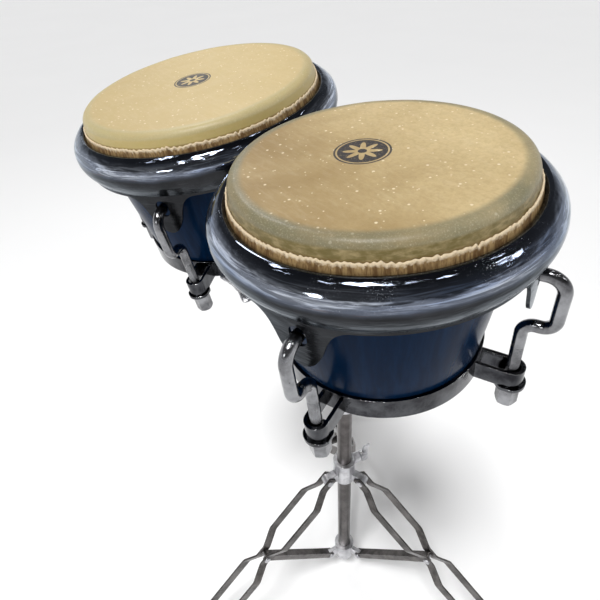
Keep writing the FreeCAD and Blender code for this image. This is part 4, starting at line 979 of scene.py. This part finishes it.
@dataclass
class Hardware:
    """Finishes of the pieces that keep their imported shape, and the castings replaced."""

    finishes: dict[str, bpy.types.Material] = field(default_factory=dict)

    def mix_finishes(self) -> None:
        """Make each shared finish once."""
        recipes = (
            # Painted reflection: the first chrome is painted dark for the dark reflections of the bottom ring and
            # other chrome parts; the second is a lighter copy of the same chrome for the hooks and nuts, painted
            # brighter.
            MetalFinish("drum_chrome", (0.10, 0.104, 0.112), (0.02, 0.02, 0.024), (0.04, 0.16)),
            MetalFinish("hook_chrome_pale_reflection", (0.34, 0.345, 0.36), (0.09, 0.09, 0.095), (0.05, 0.2)),
            MetalFinish("tube_steel", (0.13, 0.12, 0.118), (0.07, 0.064, 0.062), (0.22, 0.4),
                        (500.0, 500.0, 6.0)),
            MetalFinish("leg_steel", (0.16, 0.15, 0.145), (0.05, 0.046, 0.044), (0.22, 0.42)),
            MetalFinish("cast_metal", (0.66, 0.66, 0.68), (0.34, 0.34, 0.36), (0.22, 0.42),
                        (90.0, 90.0, 90.0), 0.0006, 0.0012),
            MetalFinish("zinc_bolt", (0.62, 0.61, 0.58), (0.40, 0.39, 0.36), (0.25, 0.45)),
            RubberFinish("black_rubber", (0.018, 0.018, 0.018), (0.10, 0.095, 0.09), (0.55, 0.85)),
            RubberFinish("black_nylon", (0.025, 0.025, 0.027), (0.07, 0.07, 0.07), (0.3, 0.5)),
            LacquerFinish("block_lacquer", (0.003, 0.009, 0.026), (0.004, 0.020, 0.055)),
        )
        self.finishes = {recipe.name: recipe.make() for recipe in recipes}

    def finish_for(self, slot: str) -> bpy.types.Material:
        """The finish of a material slot of the record."""
        names = {"block": "block_lacquer", "hoop_steel": "zinc_bolt", "rubber": "black_rubber",
                 "foot_rubber": "black_rubber", "bushing": "black_nylon", "bolt_steel": "zinc_bolt",
                 "tube_chrome": "tube_steel", "leg_steel": "leg_steel", "casting": "cast_metal",
                 "fastener": "cast_metal", "bracket_steel": "leg_steel"}
        return self.finishes[names.get(slot, "drum_chrome")]

    def dress_nodes(self) -> None:
        """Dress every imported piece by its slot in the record."""
        for part in frame["record"]["subparts"]:
            dress(frame["nodes"][part["node"]], self.finish_for(part["material_slot"]))

    def castings(self) -> None:
        """Replace the wing bolts and the feet."""
        metal, rubber = self.finishes["cast_metal"], self.finishes["black_rubber"]
        bolts = (WingBolt("height_wing_bolt", "height_wing", "height_wing_turn", 3.5 * MM),
                 WingBolt("collar_wing_bolt", "collar_wing", "collar_wing_turn", 3.5 * MM),
                 WingBolt("swivel_wing_bolt", "swivel_wing", "swivel_wing_turn", 3.5 * MM),
                 WingBolt("tilt_wing_nut", "tilt_wing", "tilt_wing_turn", 6.5 * MM),
                 WingBolt("clamp_screw", "jaw_screw", "jaw_screw_turn", 4.0 * MM))
        for bolt in bolts:
            bolt.make(metal)
            log.info("%s", bolt.node)
        for index in (1, 2, 3):
            Foot(index).make(rubber)
        log.info("feet")


@dataclass
class Studio:
    """Pale floor, soft lights and the camera."""

    camera_at: Colour = (0.30033, -0.24652, 0.88579)
    camera_turn: Colour = (51.852, 3.098, 54.856)
    lens: float = 29.348
    floor_half: float = 30.0
    lamps: int = 14
    lamp_turn: float = math.radians(49)
    lamp_energy: float = 0.5
    lamp_size: float = 0.08
    aim: Colour = (0.0, -0.06, 0.72)

    def floor(self) -> None:
        """Flat square under the object."""
        half = self.floor_half
        mesh = bpy.data.meshes.new("floor")
        mesh.from_pydata([(-half, -half, 0), (half, -half, 0), (half, half, 0), (-half, half, 0)],
                         [], [(0, 1, 2, 3)])
        floor = bpy.data.objects.new("floor", mesh)
        bpy.context.scene.collection.objects.link(floor)
        dress(floor, FloorFinish().make())

    def world(self) -> None:
        """Sky that is pale at the horizon and darker overhead."""
        world = bpy.data.worlds.new("studio_sky")
        world.use_nodes = True
        nodes, links = world.node_tree.nodes, world.node_tree.links
        point = nodes.new("ShaderNodeTexCoord")
        split = nodes.new("ShaderNodeSeparateXYZ")
        ramp = nodes.new("ShaderNodeValToRGB")
        links.new(point.outputs["Generated"], split.inputs[0])
        links.new(split.outputs["Z"], ramp.inputs["Fac"])
        stops = ((0.0, 0.95), (0.14, 0.85), (0.38, 0.16), (1.0, 0.05))
        ramp.color_ramp.elements[0].position, ramp.color_ramp.elements[1].position = 0.0, 1.0
        for position, _ in stops[1:-1]:
            ramp.color_ramp.elements.new(position)
        for element, (_, tone) in zip(ramp.color_ramp.elements, stops):
            element.color = (tone, tone, tone * 1.02, 1.0)
        links.new(ramp.outputs[0], nodes["Background"].inputs["Color"])
        nodes["Background"].inputs["Strength"].default_value = 1.0
        bpy.context.scene.world = world

    def light(self, name: str, kind: str, at: Colour, energy: float, size: float) -> None:
        """Light that points at the drums."""
        data = bpy.data.lights.new(name, kind)
        data.energy = energy
        if kind == "SUN":
            data.angle = size
        else:
            data.shape, data.size = "DISK", size
        item = bpy.data.objects.new(name, data)
        bpy.context.scene.collection.objects.link(item)
        aim = np.array(self.aim) - np.array(at)
        item.location = at
        item.rotation_euler = (math.atan2(math.hypot(aim[0], aim[1]), -aim[2]), 0,
                               math.atan2(aim[1], aim[0]) - math.pi / 2)

    def camera(self) -> None:
        """Camera above the small drum, looking across the pair."""
        data = bpy.data.cameras.new("camera")
        data.lens, data.sensor_width, data.clip_start = self.lens, 36.0, 0.01
        item = bpy.data.objects.new("camera", data)
        bpy.context.scene.collection.objects.link(item)
        item.location = self.camera_at
        item.rotation_euler = tuple(math.radians(part) for part in self.camera_turn)
        bpy.context.scene.camera = item

    def build(self) -> None:
        """Set up the whole studio."""
        self.camera()
        self.floor()
        self.world()
        self.light("ceiling", "SUN", (0.6, -1.2, 4.0), 2.55, math.radians(14))
        self.light("key", "AREA", (-1.3, 0.2, 1.9), 6.0, 0.4)
        self.light("fill", "AREA", (0.4, -1.8, 1.6), 4.0, 0.35)
        self.light("glint", "AREA", (1.3, 1.1, 1.8), 3.0, 0.25)
        for index in range(self.lamps):
            turn = index * self.lamp_turn
            ring, height = 0.7 + 0.25 * (index % 3), 1.7 + 0.3 * (index % 4)
            spot = (ring * math.cos(turn), ring * math.sin(turn), height)
            self.light(f"lamp_{index + 1}", "AREA", spot, self.lamp_energy, self.lamp_size)
        bpy.context.scene.view_settings.view_transform = "Standard"
        log.info("studio")


def main() -> None:
    """Build everything in order."""
    logging.basicConfig(level=logging.INFO, format="%(name)s: %(message)s")
    Studio().build()
    hardware = Hardware()
    hardware.mix_finishes()
    hardware.dress_nodes()
    log.info("hardware finishes")
    pair = DrumPair(hardware.finishes["hook_chrome_pale_reflection"])
    for size in Size:
        pair.build(size)
    hardware.castings()


if __name__ == "__main__":
    main()
